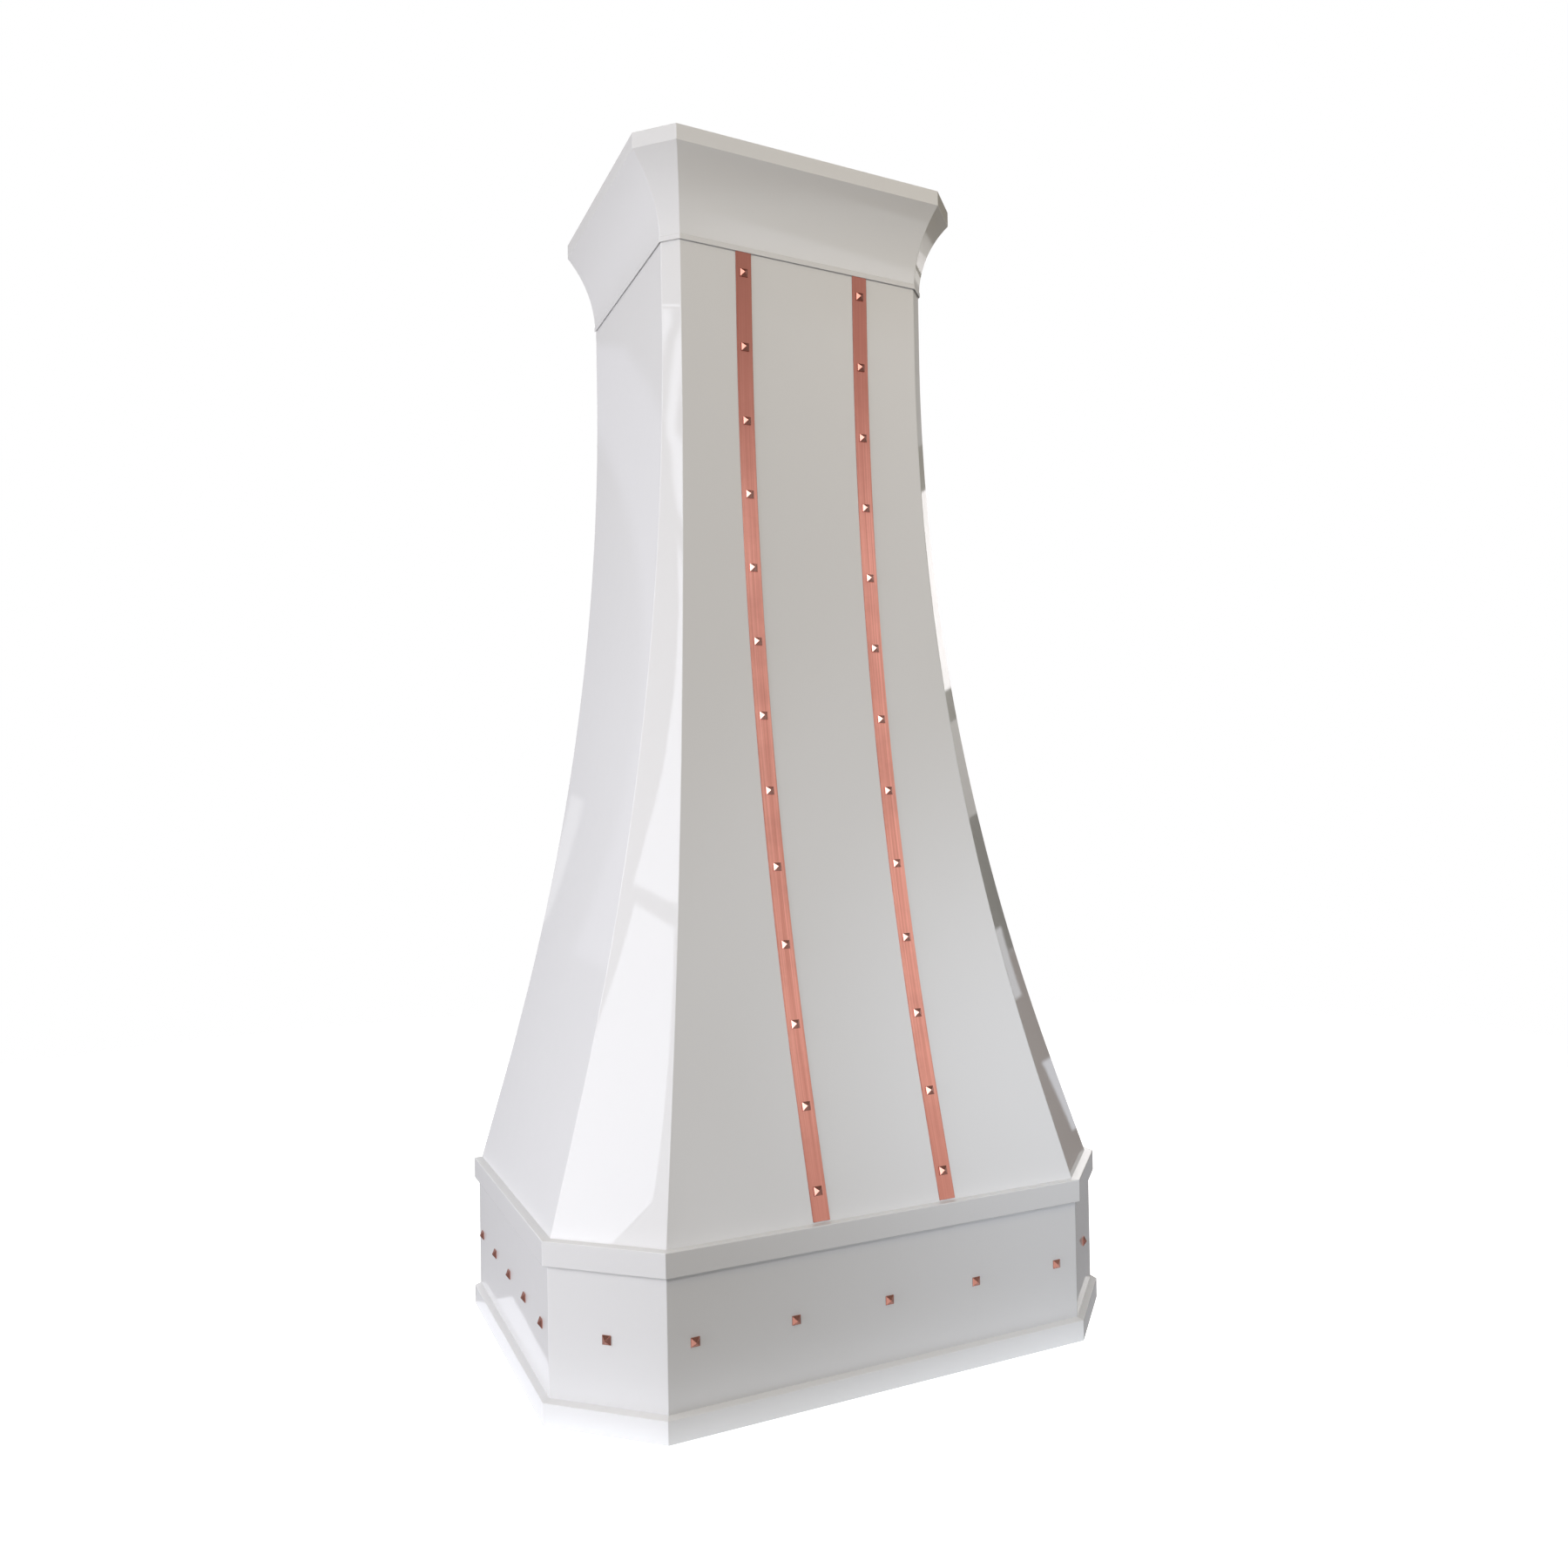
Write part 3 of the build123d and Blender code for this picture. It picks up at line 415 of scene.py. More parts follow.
def plastic(name, colour, rough, texture=700.0, depth=0.00004, coat=0.0):
    """Moulded plastic or paint with a fine texture."""
    m = Nodes(name)
    grain = m.noise(texture, 3.0)
    light = tuple(c * 1.25 + 0.01 for c in colour)
    m.link(m.mix(m.noise(20.0, 3.0), colour, light), m.shader.inputs["Base Color"])
    m.link(m.ramp(grain, rough - 0.06, rough + 0.08, 0.3, 0.7), m.shader.inputs["Roughness"])
    m.set(Coat_Weight=coat)
    m.bump((grain, depth))
    return m.material


def lamp_glass():
    """Frosted lens with faint rings, a little translucent."""
    m = Nodes("frosted_lens")
    grain = m.noise(900.0, 2.0)
    m.link(m.mix(m.noise(30.0, 2.0), (0.86, 0.87, 0.86), (0.93, 0.93, 0.90)), m.shader.inputs["Base Color"])
    m.link(m.ramp(grain, 0.22, 0.36), m.shader.inputs["Roughness"])
    m.set(Transmission_Weight=0.35, IOR=1.47)
    m.bump((grain, 0.00003))
    return m.material


WHITE = white_paint()
COPPER = copper("brushed_copper", 0.36, (0.76, 0.305, 0.23), (0.99, 0.45, 0.35))
STUD = copper("polished_copper", 0.20, (0.72, 0.36, 0.30), (0.95, 0.55, 0.47))
STAINLESS = metal("brushed_stainless", (0.62, 0.62, 0.61), (0.48, 0.48, 0.48), 0.27, (14.0, 1500.0, 1500.0))
GALVANISED = galvanised()
STEEL = metal("zinc_plated_steel", (0.60, 0.60, 0.58), (0.42, 0.42, 0.41), 0.32, (300.0, 300.0, 300.0))
RAIL = plastic("rail_paint", (0.55, 0.55, 0.54), 0.42, 400.0, 0.00006)
MOTOR = plastic("motor_enamel", (0.045, 0.05, 0.055), 0.38, 450.0, 0.00008, coat=0.4)
BLACK = plastic("black_moulding", (0.022, 0.022, 0.024), 0.42)
KNOB = plastic("knob_moulding", (0.018, 0.018, 0.02), 0.30, 900.0, 0.00002, coat=0.3)
LENS = lamp_glass()

by_slot = {"white_paint": WHITE, "copper": COPPER, "stainless": STAINLESS, "galvanised": GALVANISED,
           "steel": STEEL, "rail_steel": RAIL, "motor_paint": MOTOR, "black_plastic": BLACK,
           "knob_black": KNOB, "lamp_glass": LENS}
for node in frame["nodes"].values():
    for slot in node.material_slots:
        slot.material = by_slot[slot.material.name.split(".")[0]]

# White shell

wall_names = ["side_left", "corner_left", "front", "corner_right", "side_right"]
levels = bell_levels(ledge_top, bell_top)
for wall, name in enumerate(wall_names):
    outer, inner = [], []
    for height in levels:
        plan = between(neck, foot, bell_offset(height) / flare)
        for rows, offset, radius in ((outer, 0.0, bell_corner), (inner, -sheet, bell_corner - sheet)):
            groups = ring(grown(plan, offset), radius)
            rows.append([(p.x, p.y, height) for p in wall_stations(groups, wall)])
    verts, faces = strip(outer, inner)
    make("bell_panel_" + name, verts, faces, WHITE,
         replaces=["bell_" + name], sharp=40)
    outer, inner = [], []
    for height in (lip, ledge_top - lip):
        for rows, offset, radius in ((outer, 0.0, skirt_corner), (inner, -sheet, skirt_corner - sheet)):
            groups = ring(grown(skirt, offset), radius)
            rows.append([(p.x, p.y, height) for p in wall_stations(groups, wall)])
    verts, faces = strip(outer, inner)
    make("skirt_panel_" + name, verts, faces, WHITE,
         replaces=["skirt_" + name], sharp=40)

# Outlines of outward offset, height and, where it differs, the corner's own radius
trim = [(-trim_depth, 0), (trim_out, 0, 1.0), (trim_out, trim_height, 1.2), (0, trim_height + lip, 0),
        (0, lip), (-trim_depth, lip)]
moulding("bottom_trim", skirt, rounded(trim, 0.4), 1.6, WHITE, ["base_trim"])
band = [(0, band_bottom, 0.3), (band_out, band_bottom, 1.0), (band_out, ledge_top, 1.4),
        (-band_depth, ledge_top), (-band_depth, ledge_top - lip), (0, ledge_top - lip, 0)]
moulding("shoulder_moulding", skirt, rounded(band, 0.4), 1.6, WHITE, ["shoulder_band"])

rise, swing = crown_top - crown_bottom, fascia_out - sheet
cove_radius = (rise ** 2 + swing ** 2) / (2 * swing)


def cove_point(radius, height):
    """Offset and height on one of the cove's two arcs."""
    return sheet + cove_radius - math.sqrt(radius ** 2 - height ** 2), crown_bottom + height


steps = 28
lift = hem_height + hem_out - sheet
slot_top = crown_bottom + hem_slot_height
cove = rounded([(hem_slot_depth, crown_bottom, 0), (hem_out, crown_bottom, 0.8),
                (hem_out, crown_bottom + hem_height, 1.2), (1.6, crown_bottom + lift + 0.6, 0)], 0.5)[:-1]
cove += [Vector(cove_point(cove_radius, lift + (rise - lift) * i / steps)) for i in range(steps + 1)]
cove += [Vector(cove_point(cove_radius + sheet, rise * i / steps)) for i in range(steps, 0, -1)]
cove += [Vector((0.0, slot_top)), Vector((hem_slot_depth, slot_top)),
         Vector((hem_slot_depth, crown_bottom))]
moulding("crown_cove_moulding", neck, cove, 2.0, WHITE, ["crown_cove"])
lid = overall_height - sheet
lid_edge = fascia_out - fascia_lid
fascia = [(fascia_out - sheet, crown_top, 0.3), (fascia_out, crown_top, 0.6),
          (fascia_out, overall_height, 1.2), (lid_edge, overall_height), (lid_edge, lid),
          (fascia_out - sheet, lid, 0)]
moulding("crown_fascia_moulding", neck, rounded(fascia, 0.3), 1.6, WHITE, ["crown_fascia"])


# Copper

def strap(side, name):
    """Strap down the bell's front with its edges eased."""
    half, thick, ease = strap_half, strap_thick, strap_ease
    across = [(-half, 0.0), (-half, thick - ease), (-half + ease * 0.3, thick - ease * 0.3),
              (-half + ease, thick), (half - ease, thick), (half - ease * 0.3, thick - ease * 0.3),
              (half, thick - ease), (half, 0.0)]
    low = ledge_top + 2.0
    rows = []
    for height in bell_levels(low, neck_top):
        y = neck[1] + bell_offset(height)
        rows.append([(side * strap_x + x, -(y + out), height) for x, out in across])
    verts = [p for row in rows for p in row]
    count = len(across)
    faces = []
    for i in range(len(rows) - 1):
        for j in range(count):
            k = (j + 1) % count
            faces.append((i * count + j, i * count + k, (i + 1) * count + k, (i + 1) * count + j))
    faces.append(list(range(count)))
    faces.append([(len(rows) - 1) * count + j for j in reversed(range(count))])
    make("copper_strap_" + name, verts, faces, COPPER, replaces=["strap_" + name], sharp=50)


strap(-1, "left")
strap(1, "right")


def studs(node, name):
    """Pyramid studs from a frame node, with their sharp edges rounded."""
    bm = bmesh.new()
    bm.from_mesh(frame["nodes"][node].data)
    bmesh.ops.remove_doubles(bm, verts=bm.verts, dist=2e-6)
    bmesh.ops.dissolve_limit(bm, angle_limit=math.radians(0.5), verts=bm.verts, edges=bm.edges)
    edges = [e for e in bm.edges if len(e.link_faces) == 2 and e.calc_face_angle(0.0) > math.radians(20.0)]
    bmesh.ops.bevel(bm, geom=edges, offset=stud_ease * MM, offset_type="OFFSET", segments=2, profile=0.5,
                    affect="EDGES", clamp_overlap=True)
    mesh = bpy.data.meshes.new(name)
    bm.to_mesh(mesh)
    bm.free()
    finish(name, mesh, STUD, "hood", [node], 50)


studs("strap_studs_left", "studs_strap_left")
studs("strap_studs_right", "studs_strap_right")
studs("skirt_studs", "studs_skirt")


# Inner parts

def revolved(bm, centre, profile, count=48):
    """Shape turned about a vertical axis, from one end of the axis to the other."""
    rings = []
    for radius, height in profile:
        turns = [0.0] if radius == 0 else [math.tau * k / count for k in range(count)]
        points = [(radius * math.cos(turn), radius * math.sin(turn)) for turn in turns]
        rings.append([bm.verts.new((centre[0] + x, centre[1] + y, height)) for x, y in points])
    for low, high in zip(rings, rings[1:]):
        for k in range(count):
            after = (k + 1) % count
            if len(low) == 1:
                bm.faces.new((low[0], high[after], high[k]))
            elif len(high) == 1:
                bm.faces.new((low[k], low[after], high[0]))
            else:
                bm.faces.new((low[k], low[after], high[after], high[k]))
    return rings


def from_bmesh(name, bm, material, nodes, body="hood", sharp=32.0):
    """Piece from a bmesh in mm."""
    bmesh.ops.scale(bm, vec=(MM, MM, MM), verts=bm.verts)
    mesh = bpy.data.meshes.new(name)
    bm.to_mesh(mesh)
    bm.free()
    return finish(name, mesh, material, body, nodes, sharp)


def lens(side, name):
    """Lamp lens with fine prism rings on its underside."""
    low, high, radius = lens_bottom, lens_top, lens_radius
    rings, first, last, depth = 16, 1.0, 28.5, 0.35
    profile = [(0.0, low)]
    for k in range(rings):
        inner, outer = (first + (last - first) * i / rings for i in (k, k + 1))
        profile += [(inner, low), (inner + (outer - inner) * 0.75, low + depth), (outer, low + 0.02)]
    profile += [(radius - 0.6, low), (radius, low + 0.6), (radius, high - 0.3),
                (radius - 0.3, high), (0.0, high)]
    bm = bmesh.new()
    revolved(bm, (side * lamp_x, controls_y), profile, 64)
    from_bmesh("prism_lens_" + name, bm, LENS, ["lamp_lens_" + name], sharp=20)


def screws():
    """Pan-head screws with a cross recess, up through the liner's flange."""
    low, high, radius = screw_bottom, screw_top, screw_radius
    shank = radius / 2
    profile = [(radius - 1.3, low), (radius - 0.7, low + 0.1), (radius - 0.2, low + 0.5),
               (radius, low + 1.0), (radius, low + 1.6), (shank, low + 1.6),
               (shank, high - 0.6), (shank - 0.6, high), (0.0, high)]
    bm = bmesh.new()
    for turn, (x, y) in enumerate(liner_screws):
        head = revolved(bm, (x, y), profile, 32)
        loops = []
        for arm, wide, height in ((1.9, 0.5, low), (1.2, 0.35, low + 1.1)):
            loop = []
            for quarter in range(4):
                angle = math.radians(90 * quarter + 23 * turn)
                cos, sin = math.cos(angle), math.sin(angle)
                for along, aside in ((wide, -wide), (arm, -wide), (arm, wide)):
                    loop.append(bm.verts.new((x + along * cos - aside * sin,
                                              y + along * sin + aside * cos, height)))
            loops.append(loop)
        rim = [bm.edges.get((a, b)) for a, b in zip(head[0], head[0][1:] + head[0][:1])]
        mouth = [bm.edges.new((a, b)) for a, b in zip(loops[0], loops[0][1:] + loops[0][:1])]
        bmesh.ops.bridge_loops(bm, edges=rim + mouth)
        for k in range(12):
            after = (k + 1) % 12
            bm.faces.new((loops[0][k], loops[0][after], loops[1][after], loops[1][k]))
        bm.faces.new(loops[1])
    from_bmesh("cross_head_screws", bm, STEEL, ["liner_screws"], sharp=30)


def dial_marks():
    """Raised marks round the fan knob: a dot for off, and bars that widen with the speed."""
    bm = bmesh.new()
    centre = Vector((knob_x, controls_y))
    for step, width in enumerate((0.9, 0.9, 1.6, 2.4)):
        angle = math.radians(270 - 90 * step)
        out = Vector((math.cos(angle), math.sin(angle)))
        aside = Vector((-out.y, out.x))
        near, far = (19.5, 21.3) if step == 0 else (19.0, 23.0)
        corners = []
        for below, inset in ((-0.05, 0.0), (0.2, 0.0), (0.28, 0.12)):
            corners.append([])
            for r, a in ((near + inset, -width + inset), (far - inset, -width + inset),
                         (far - inset, width - inset), (near + inset, width - inset)):
                p = centre + out * r + aside * a
                corners[-1].append(bm.verts.new((p.x, p.y, panel_bottom - below)))
        for low, high in zip(corners, corners[1:]):
            for k in range(4):
                bm.faces.new((low[k], low[(k + 1) % 4], high[(k + 1) % 4], high[k]))
        bm.faces.new(corners[0])
        bm.faces.new(corners[-1])
    from_bmesh("dial_marks", bm, BLACK, [])


def soften(node, width):
    """Small rounding along the sharp edges of a frame node."""
    piece = frame["nodes"][node]
    weld = piece.modifiers.new("weld", "WELD")
    weld.merge_threshold = 2e-6
    flats = piece.modifiers.new("flats", "DECIMATE")
    flats.decimate_type = "DISSOLVE"
    flats.angle_limit = math.radians(0.5)
    edges = piece.modifiers.new("edges", "BEVEL")
    edges.width = width * MM
    edges.segments = 2
    edges.limit_method = "ANGLE"
    edges.angle_limit = math.radians(35.0)
    normals = piece.modifiers.new("normals", "WEIGHTED_NORMAL")
    normals.mode = "FACE_AREA"


lens(-1, "left")
lens(1, "right")
screws()
dial_marks()
softened = {
    0.25: ["baffle_filter_left", "baffle_filter_right", "duct_collar"],
    0.3: ["control_panel", "filter_rail", "liner_front", "liner_back", "liner_left", "liner_right",
          "liner_top"],
    0.35: ["grease_tray"],
    0.4: ["bottom_plate", "stile_left", "stile_right", "back_flange_left", "back_flange_right",
          "motor_plate"],
    0.5: ["wall_rail_bottom", "wall_rail_top", "junction_cover", "fan_switch", "light_switch"],
    0.6: ["junction_box"],
}
for width, names in softened.items():
    for node in names:
        soften(node, width)


# Floor, light and camera

def disc(name, radius, material, height):
    """Flat round stage piece."""
    bm = bmesh.new()
    bmesh.ops.create_circle(bm, cap_ends=True, cap_tris=False, segments=96, radius=radius)
    mesh = bpy.data.meshes.new(name)
    bm.to_mesh(mesh)
    bm.free()
    mesh.materials.append(material)
    piece = bpy.data.objects.new(name, mesh)
    piece.location.z = height
    bpy.context.scene.collection.objects.link(piece)
    return piece


def floor():
    """Pale floor that fades into the backdrop, clear from below, and a card that bounces light upwards."""
    m = Nodes("pale_floor")
    m.link(m.mix(m.noise(3.0, 3.0), (0.93, 0.93, 0.93), (0.95, 0.95, 0.95)), m.shader.inputs["Base Color"])
    m.set(Roughness=0.6, Emission_Color=(1.0, 1.0, 1.0), Emission_Strength=0.80)
    distance = m.add("ShaderNodeVectorMath", operation="LENGTH")
    m.link(m.coords, distance.inputs[0])
    above = m.math("SUBTRACT", 1.0, m.add("ShaderNodeNewGeometry").outputs["Backfacing"])
    reach = m.ramp(distance.outputs["Value"], 1.0, 0.0, 1.0, 3.6)
    m.link(m.math("MULTIPLY", above, reach), m.shader.inputs["Alpha"])
    wide = disc("floor", 4.0, m.material, -0.0005)
    wide.visible_diffuse = wide.visible_glossy = False
    m = Nodes("bounce_card")
    m.link(m.mix(m.noise(3.0, 3.0), (0.80, 0.80, 0.80), (0.82, 0.82, 0.82)), m.shader.inputs["Base Color"])
    m.set(Roughness=0.8, Emission_Color=(0.84, 0.91, 1.0), Emission_Strength=0.56)
    mesh = bpy.data.meshes.new("bounce_card")
    plan = ring(grown(skirt, 75.0), 20.0)
    verts = [(p.x * MM, p.y * MM, -0.0008) for group in plan for p in group]
    mesh.from_pydata(verts, [], [list(range(len(verts)))])
    mesh.materials.append(m.material)
    card = bpy.data.objects.new("bounce_card", mesh)
    bpy.context.scene.collection.objects.link(card)
    card.visible_camera = card.visible_glossy = card.visible_transmission = False


def spot(name, place, target, cone, power, colour):
    """Soft round pool of light on a target."""
    light = bpy.data.lights.new(name, "SPOT")
    light.spot_size = math.radians(cone)
    light.spot_blend = 1.0
    light.shadow_soft_size = 0.3
    light.energy = power
    light.color = colour
    lamp = bpy.data.objects.new(name, light)
    lamp.location = place
    lamp.rotation_euler = (Vector(target) - Vector(place)).to_track_quat("-Z", "Y").to_euler()
    lamp.visible_glossy = False
    bpy.context.scene.collection.objects.link(lamp)


def area(name, place, target, size, power, colour=(1.0, 1.0, 1.0)):
    """Soft rectangular light at a place, turned towards a target."""
    light = bpy.data.lights.new(name, "AREA")
    light.shape = "RECTANGLE"
    light.size, light.size_y = size
    light.energy = power
    light.color = colour
    lamp = bpy.data.objects.new(name, light)
    lamp.location = place
    lamp.rotation_euler = (Vector(target) - Vector(place)).to_track_quat("-Z", "Y").to_euler()
    lamp.visible_glossy = False
    bpy.context.scene.collection.objects.link(lamp)


class Surroundings(Graph):
    """World whose look in reflections is put together from soft-edged panels of light and dark."""

    def __init__(self):
        world = bpy.data.worlds.new("studio")
        bpy.context.scene.world = world
        world.use_nodes = True
        super().__init__(world.node_tree, "Generated")
        split = self.add("ShaderNodeSeparateXYZ")
        self.link(self.coords, split.inputs[0])
        self.east, self.north, self.rise = split.outputs
        self.room = None

    def by_height(self, *stops):
        """Colour by elevation in degrees."""
        height = self.ramp(self.rise, 0.0, 1.0, -1.0, 1.0)
        node = self.add("ShaderNodeValToRGB")
        self.link(height, node.inputs[0])
        elements = node.color_ramp.elements
        while len(elements) < len(stops):
            elements.new(0.5)
        for element, (degrees, colour) in zip(elements, stops):
            element.position = (math.sin(math.radians(degrees)) + 1.0) / 2.0
            element.color = (*colour, 1.0)
        return node.outputs[0]

    def facing(self, bearing):
        """Tangents across and up from a bearing in degrees, from +X round by +Y."""
        angle = math.radians(bearing)
        ahead = self.math("ADD", self.math("MULTIPLY", self.east, math.cos(angle)),
                          self.math("MULTIPLY", self.north, math.sin(angle)))
        aside = self.math("ADD", self.math("MULTIPLY", self.east, -math.sin(angle)),
                          self.math("MULTIPLY", self.north, math.cos(angle)))
        ahead = self.math("MAXIMUM", ahead, 0.001)
        return self.math("DIVIDE", aside, ahead), self.math("DIVIDE", self.rise, ahead)

    def panel(self, colour, left, right, low, high, soft=0.4):
        """Upright panel far away: its sides as bearings and its edges as elevations in degrees."""
        across, up = self.facing((left + right) / 2)
        half = math.tan(math.radians(abs(right - left) / 2))
        edge = math.radians(soft)
        bottom, top = math.tan(math.radians(low)), math.tan(math.radians(high))
        mask = self.ramp(self.math("ABSOLUTE", across), 1.0, 0.0, half - edge, half + edge, True)
        mask = self.math("MULTIPLY", mask, self.ramp(up, 0.0, 1.0, bottom - edge, bottom + edge, True))
        mask = self.math("MULTIPLY", mask, self.ramp(up, 1.0, 0.0, top - edge, top + edge, True))
        self.room = self.mix(mask, self.room, colour)

    def pane(self, colour, soft, *corners):
        """Straight-edged pane with anticlockwise corners, each a bearing and an elevation in degrees."""
        bearing = sum(corner[0] for corner in corners) / len(corners)
        across, up = self.facing(bearing)
        points = []
        for turn, height in corners:
            turn = math.radians(turn - bearing)
            points.append(Vector((math.tan(turn), math.tan(math.radians(height)) / math.cos(turn))))
        mask = 1.0
        for start, end in zip(points, points[1:] + points[:1]):
            inward = Vector((start.y - end.y, end.x - start.x)).normalized()
            sideways, upwards = self.math("MULTIPLY", across, inward.x), self.math("MULTIPLY", up, inward.y)
            inside = self.math("SUBTRACT", self.math("ADD", sideways, upwards), inward.dot(start))
            edge = math.radians(soft)
            mask = self.math("MULTIPLY", mask, self.ramp(inside, 0.0, 1.0, -edge, edge, True))
        self.room = self.mix(mask, self.room, colour)

    def finish(self, seen, diffuse):
        """White to the camera, plain light on matt surfaces, and the room in reflections."""
        path = self.add("ShaderNodeLightPath")
        colour = self.mix(path.outputs["Is Glossy Ray"], diffuse, self.room)
        colour = self.mix(path.outputs["Is Camera Ray"], colour, seen)
        back = self.add("ShaderNodeBackground")
        self.link(colour, back.inputs[0])
        out = self.add("ShaderNodeOutputWorld")
        self.link(back.outputs[0], out.inputs[0])


def world():
    """Bright windows to the left and front, a dark doorway to the right rear, dim ground and ceiling."""
    w = Surroundings()
    w.room = w.by_height((-90, (0.62, 0.61, 0.60)), (-58, (0.46, 0.45, 0.44)), (-38, (0.20, 0.18, 0.17)),
                         (-12, (0.42, 0.42, 0.44)), (10, (0.50, 0.50, 0.52)), (28, (0.40, 0.39, 0.38)),
                         (45, (0.24, 0.22, 0.20)), (90, (0.22, 0.20, 0.18)))
    window = (3.1, 3.2, 3.45)
    # Window to the left, above and below its crossbar, and the next one behind it
    w.pane(window, 0.04, (195.0, 21.36), (197.3, 21.62), (207.0, 22.8), (207.0, 23.6), (197.95, 23.6))
    w.pane(window, 0.04, (198.0, 23.70), (204.0, 23.72), (204.0, 23.84), (198.0, 23.80))
    w.pane(window, 0.04, (190.0, 12.0), (195.3, 12.0), (197.95, 16.3), (197.85, 17.4),
           (197.2, 21.42), (194.9, 21.2), (193.5, 19.6), (190.0, 16.0))
    w.panel((3.6, 3.7, 3.9), 146.0, 166.0, 6.0, 27.0, 1.0)
    # Window behind the viewer's left shoulder
    w.panel((3.4, 3.4, 3.5), 212.0, 232.0, 6.0, 36.0, 1.0)
    # Its light on the floor, which the left faces of the low studs show
    w.panel((1.1, 1.08, 1.08), 210.0, 242.0, -36.0, -12.0, 2.0)
    # Bright yard to the front right
    w.panel((2.0, 2.05, 2.2), 288.0, 335.0, -9.0, 22.0, 4.0)
    # Opening and dark doorway to the right rear
    w.panel((0.08, 0.07, 0.06), -12.0, 16.0, -30.0, 40.0, 2.0)
    w.panel((1.2, 1.18, 1.15), 15.5, 27.5, 3.0, 21.5, 1.0)
    w.panel((0.08, 0.07, 0.05), 18.0, 60.0, 25.4, 34.0, 0.4)
    w.panel((1.1, 1.05, 1.05), -25.0, 60.0, -76.0, -50.0, 3.0)
    w.panel((0.22, 0.17, 0.15), 18.0, 60.0, -14.0, 0.4, 0.3)
    w.panel((0.03, 0.03, 0.015), 18.0, 60.0, 0.4, 5.5, 0.1)
    w.panel((0.54, 0.52, 0.50), 18.0, 60.0, 5.5, 9.1, 0.1)
    w.panel((0.06, 0.06, 0.03), 18.0, 60.0, 9.1, 10.3, 0.1)
    w.panel((1.9, 1.85, 1.85), 18.0, 60.0, 10.3, 17.5, 0.1)
    w.panel((0.05, 0.05, 0.02), 18.0, 60.0, 17.5, 19.0, 0.1)
    w.pane((0.85, 0.86, 0.90), 0.1, (31.0, -1.2), (32.9, -1.2), (33.75, 1.3), (31.0, 1.3))
    w.pane((0.95, 0.97, 1.05), 0.1, (31.0, -6.6), (34.0, -6.6), (34.0, -3.5), (31.75, -3.5))
    # Shapes along the left rear
    w.pane((0.90, 0.90, 0.95), 0.08, (85.0, -30.0), (107.5, -30.0), (101.55, -19.88), (85.0, -19.88))
    w.panel((0.62, 0.62, 0.66), 105.2, 107.4, 2.0, 22.0, 0.3)
    w.panel((0.80, 0.80, 0.82), 102.9, 103.5, 2.5, 7.0, 0.15)
    plain = w.by_height((-90, (0.21, 0.185, 0.13)), (0, (0.235, 0.23, 0.235)), (90, (0.30, 0.285, 0.26)))
    dimmer = w.ramp(w.east, 0.0, 0.6, -0.8, 1.0)
    w.finish((1.0, 1.0, 1.0), w.mix(dimmer, plain, (0.10, 0.10, 0.10)))


def glow_card(name, middle, size, tilt, colour, strength):
    """Upright card facing the hood, seen only in reflections, that fades out towards its edges."""
    m = Nodes(name)
    split = m.add("ShaderNodeSeparateXYZ")
    m.link(m.coords, split.inputs[0])
    mask = 1.0
    for axis, reach in ((0, size[0] / 2), (1, size[1] / 2)):
        side = m.ramp(m.math("ABSOLUTE", split.outputs[axis]), 1.0, 0.0, reach * 0.72, reach, True)
        mask = m.math("MULTIPLY", mask, side)
    m.set(Emission_Color=colour, Emission_Strength=strength, Roughness=1.0, Base_Color=(0.0, 0.0, 0.0))
    m.link(mask, m.shader.inputs["Alpha"])
    mesh = bpy.data.meshes.new(name)
    x, y = size[0] / 2, size[1] / 2
    mesh.from_pydata([(-x, -y, 0), (x, -y, 0), (x, y, 0), (-x, y, 0)], [], [(0, 1, 2, 3)])
    mesh.materials.append(m.material)
    card = bpy.data.objects.new(name, mesh)
    card.rotation_euler = (math.radians(90), math.radians(-tilt), 0)
    card.location = middle
    bpy.context.scene.collection.objects.link(card)
    card.visible_camera = card.visible_diffuse = card.visible_shadow = card.visible_transmission = False


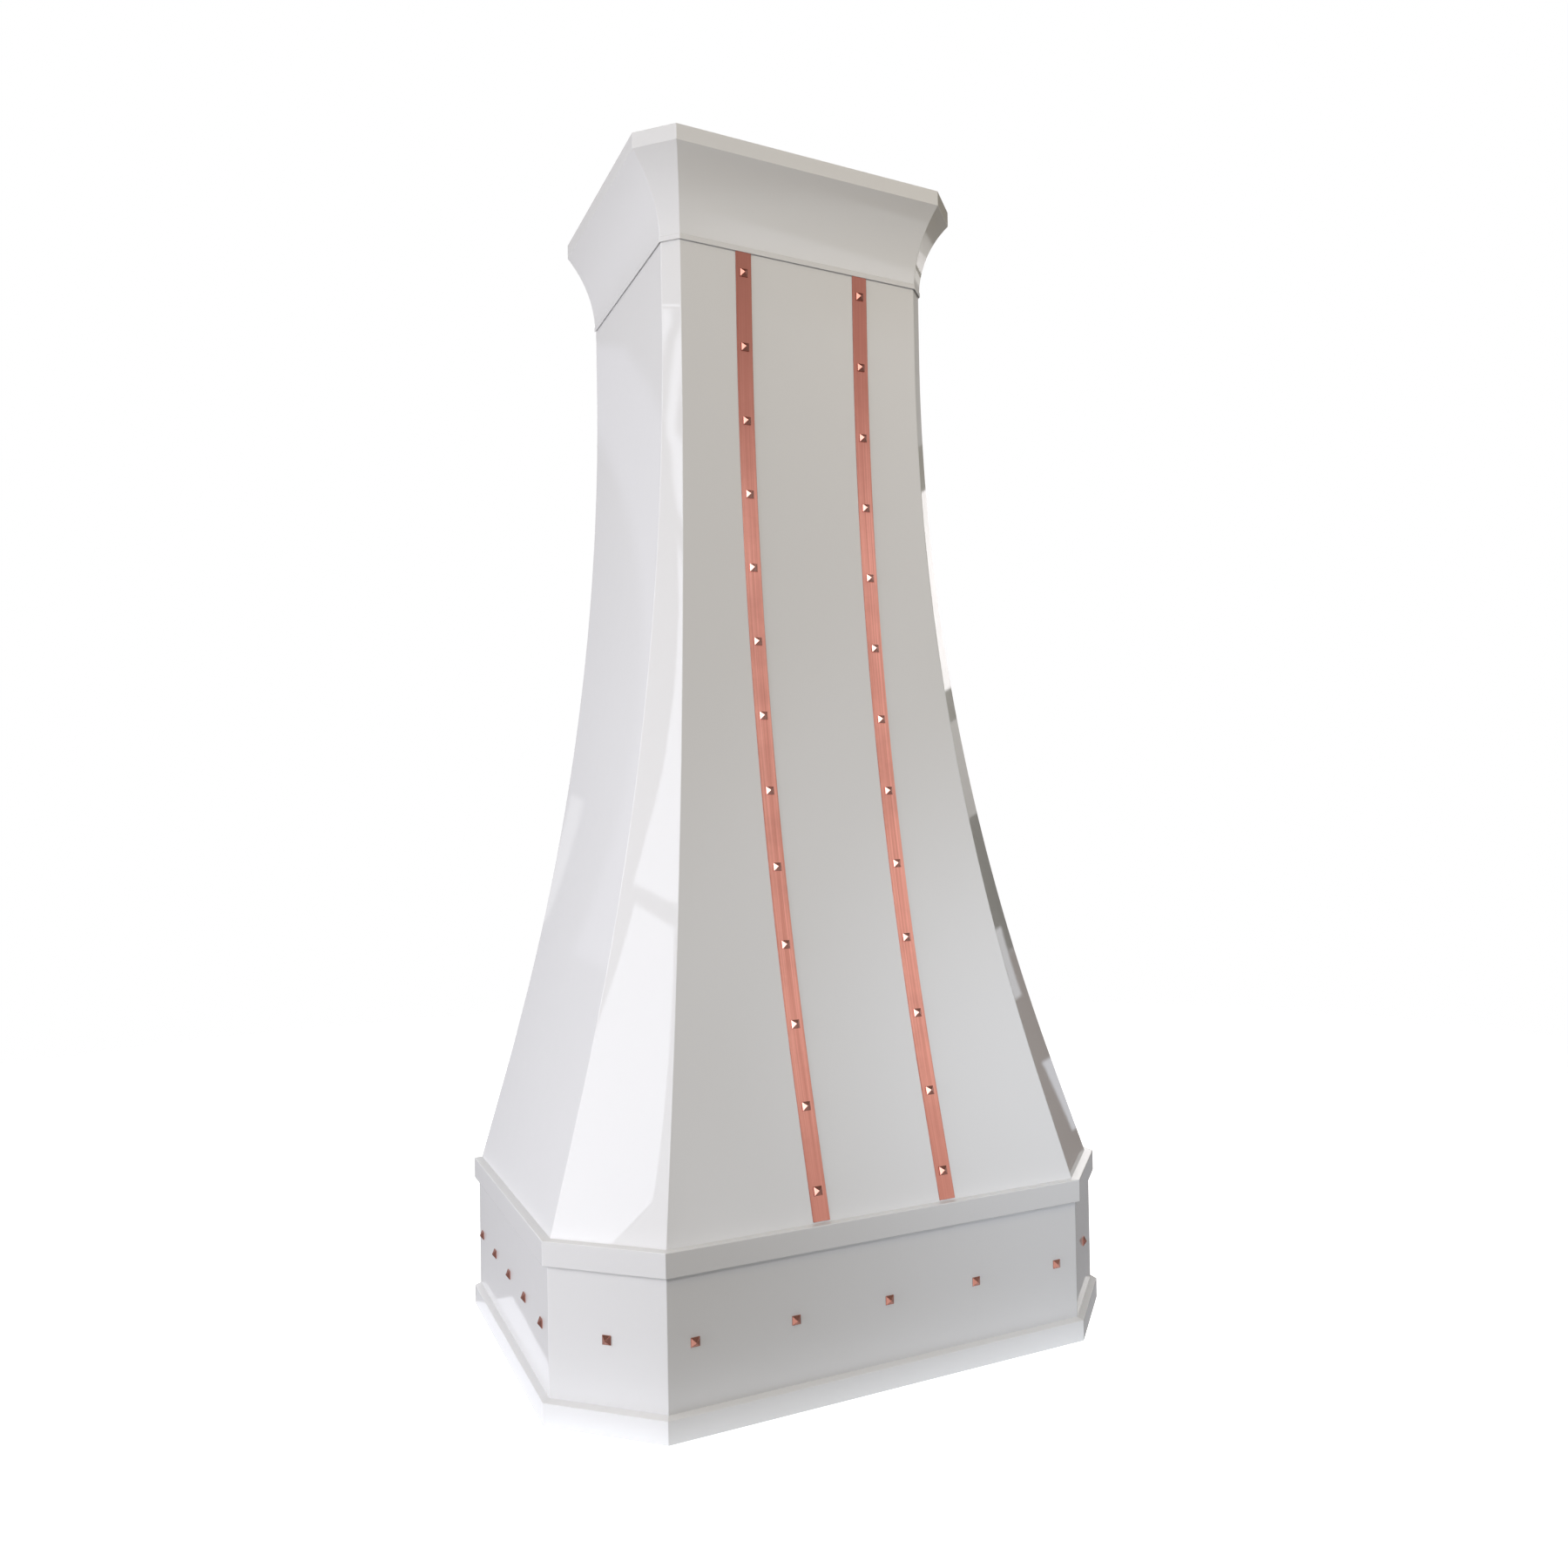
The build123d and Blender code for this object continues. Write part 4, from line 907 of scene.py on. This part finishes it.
def camera():
    """Camera at the photograph's place, from the left front and a little under mid height."""
    focal, centre_x, centre_y, width = 1386.8754, 955.6925, 945.2055, 1800.0
    place = Vector((-0.8208939, -2.0827375, 0.7687646))
    yaw, pitch, roll = 0.46564022, 0.01052640, -0.01777438
    forward = Vector((math.sin(yaw) * math.cos(pitch), math.cos(yaw) * math.cos(pitch), math.sin(pitch)))
    right = Vector((math.cos(yaw), -math.sin(yaw), 0.0))
    up = right.cross(forward)
    side = right * math.cos(roll) + up * math.sin(roll)
    top = up * math.cos(roll) - right * math.sin(roll)
    data = bpy.data.cameras.new("camera")
    data.sensor_width = 36.0
    data.lens = focal / width * data.sensor_width
    data.shift_x = (width / 2 - centre_x) / width
    data.shift_y = (centre_y - width / 2) / width
    cam = bpy.data.objects.new("camera", data)
    cam.matrix_world = Matrix((
        (side.x, top.x, -forward.x, place.x),
        (side.y, top.y, -forward.y, place.y),
        (side.z, top.z, -forward.z, place.z),
        (0.0, 0.0, 0.0, 1.0)))
    bpy.context.scene.collection.objects.link(cam)
    bpy.context.scene.camera = cam


floor()
world()
camera()
glow_card("yard_glow", (2.8, -3.2, 1.45), (4.6, 2.7), 30.0, (0.95, 0.97, 1.0), 1.1)
area("key", (-1.9, -2.9, 2.3), (0.0, -0.4, 0.9), (0.6, 0.6), 28.0, (1.0, 0.985, 0.96))
area("window_left", (-3.2, -0.1, 1.25), (-0.3, -0.2, 1.0), (2.4, 2.6), 55.0, (0.955, 0.94, 1.0))
area("low_left", (-2.3, -0.7, 0.1), (-0.4, -0.4, 0.1), (1.4, 0.5), 14.0, (0.88, 0.91, 1.0))
area("warm_high", (0.9, -1.9, 2.45), (0.15, -0.4, 1.55), (0.6, 0.6), 8.5, (1.0, 0.86, 0.64))
spot("cool_right", (-1.4, -3.2, 1.2), (0.62, -0.5, 0.36), 25.0, 185.0, (0.81, 0.88, 1.0))
area("top", (0.0, 0.0, 4.2), (0.0, -0.1, 0.0), (3.6, 3.6), 25.0)
area("open_back", (0.4, 2.6, 1.5), (0.0, -0.2, 0.7), (1.6, 1.6), 45.0)
bpy.context.scene.view_settings.view_transform = "Standard"
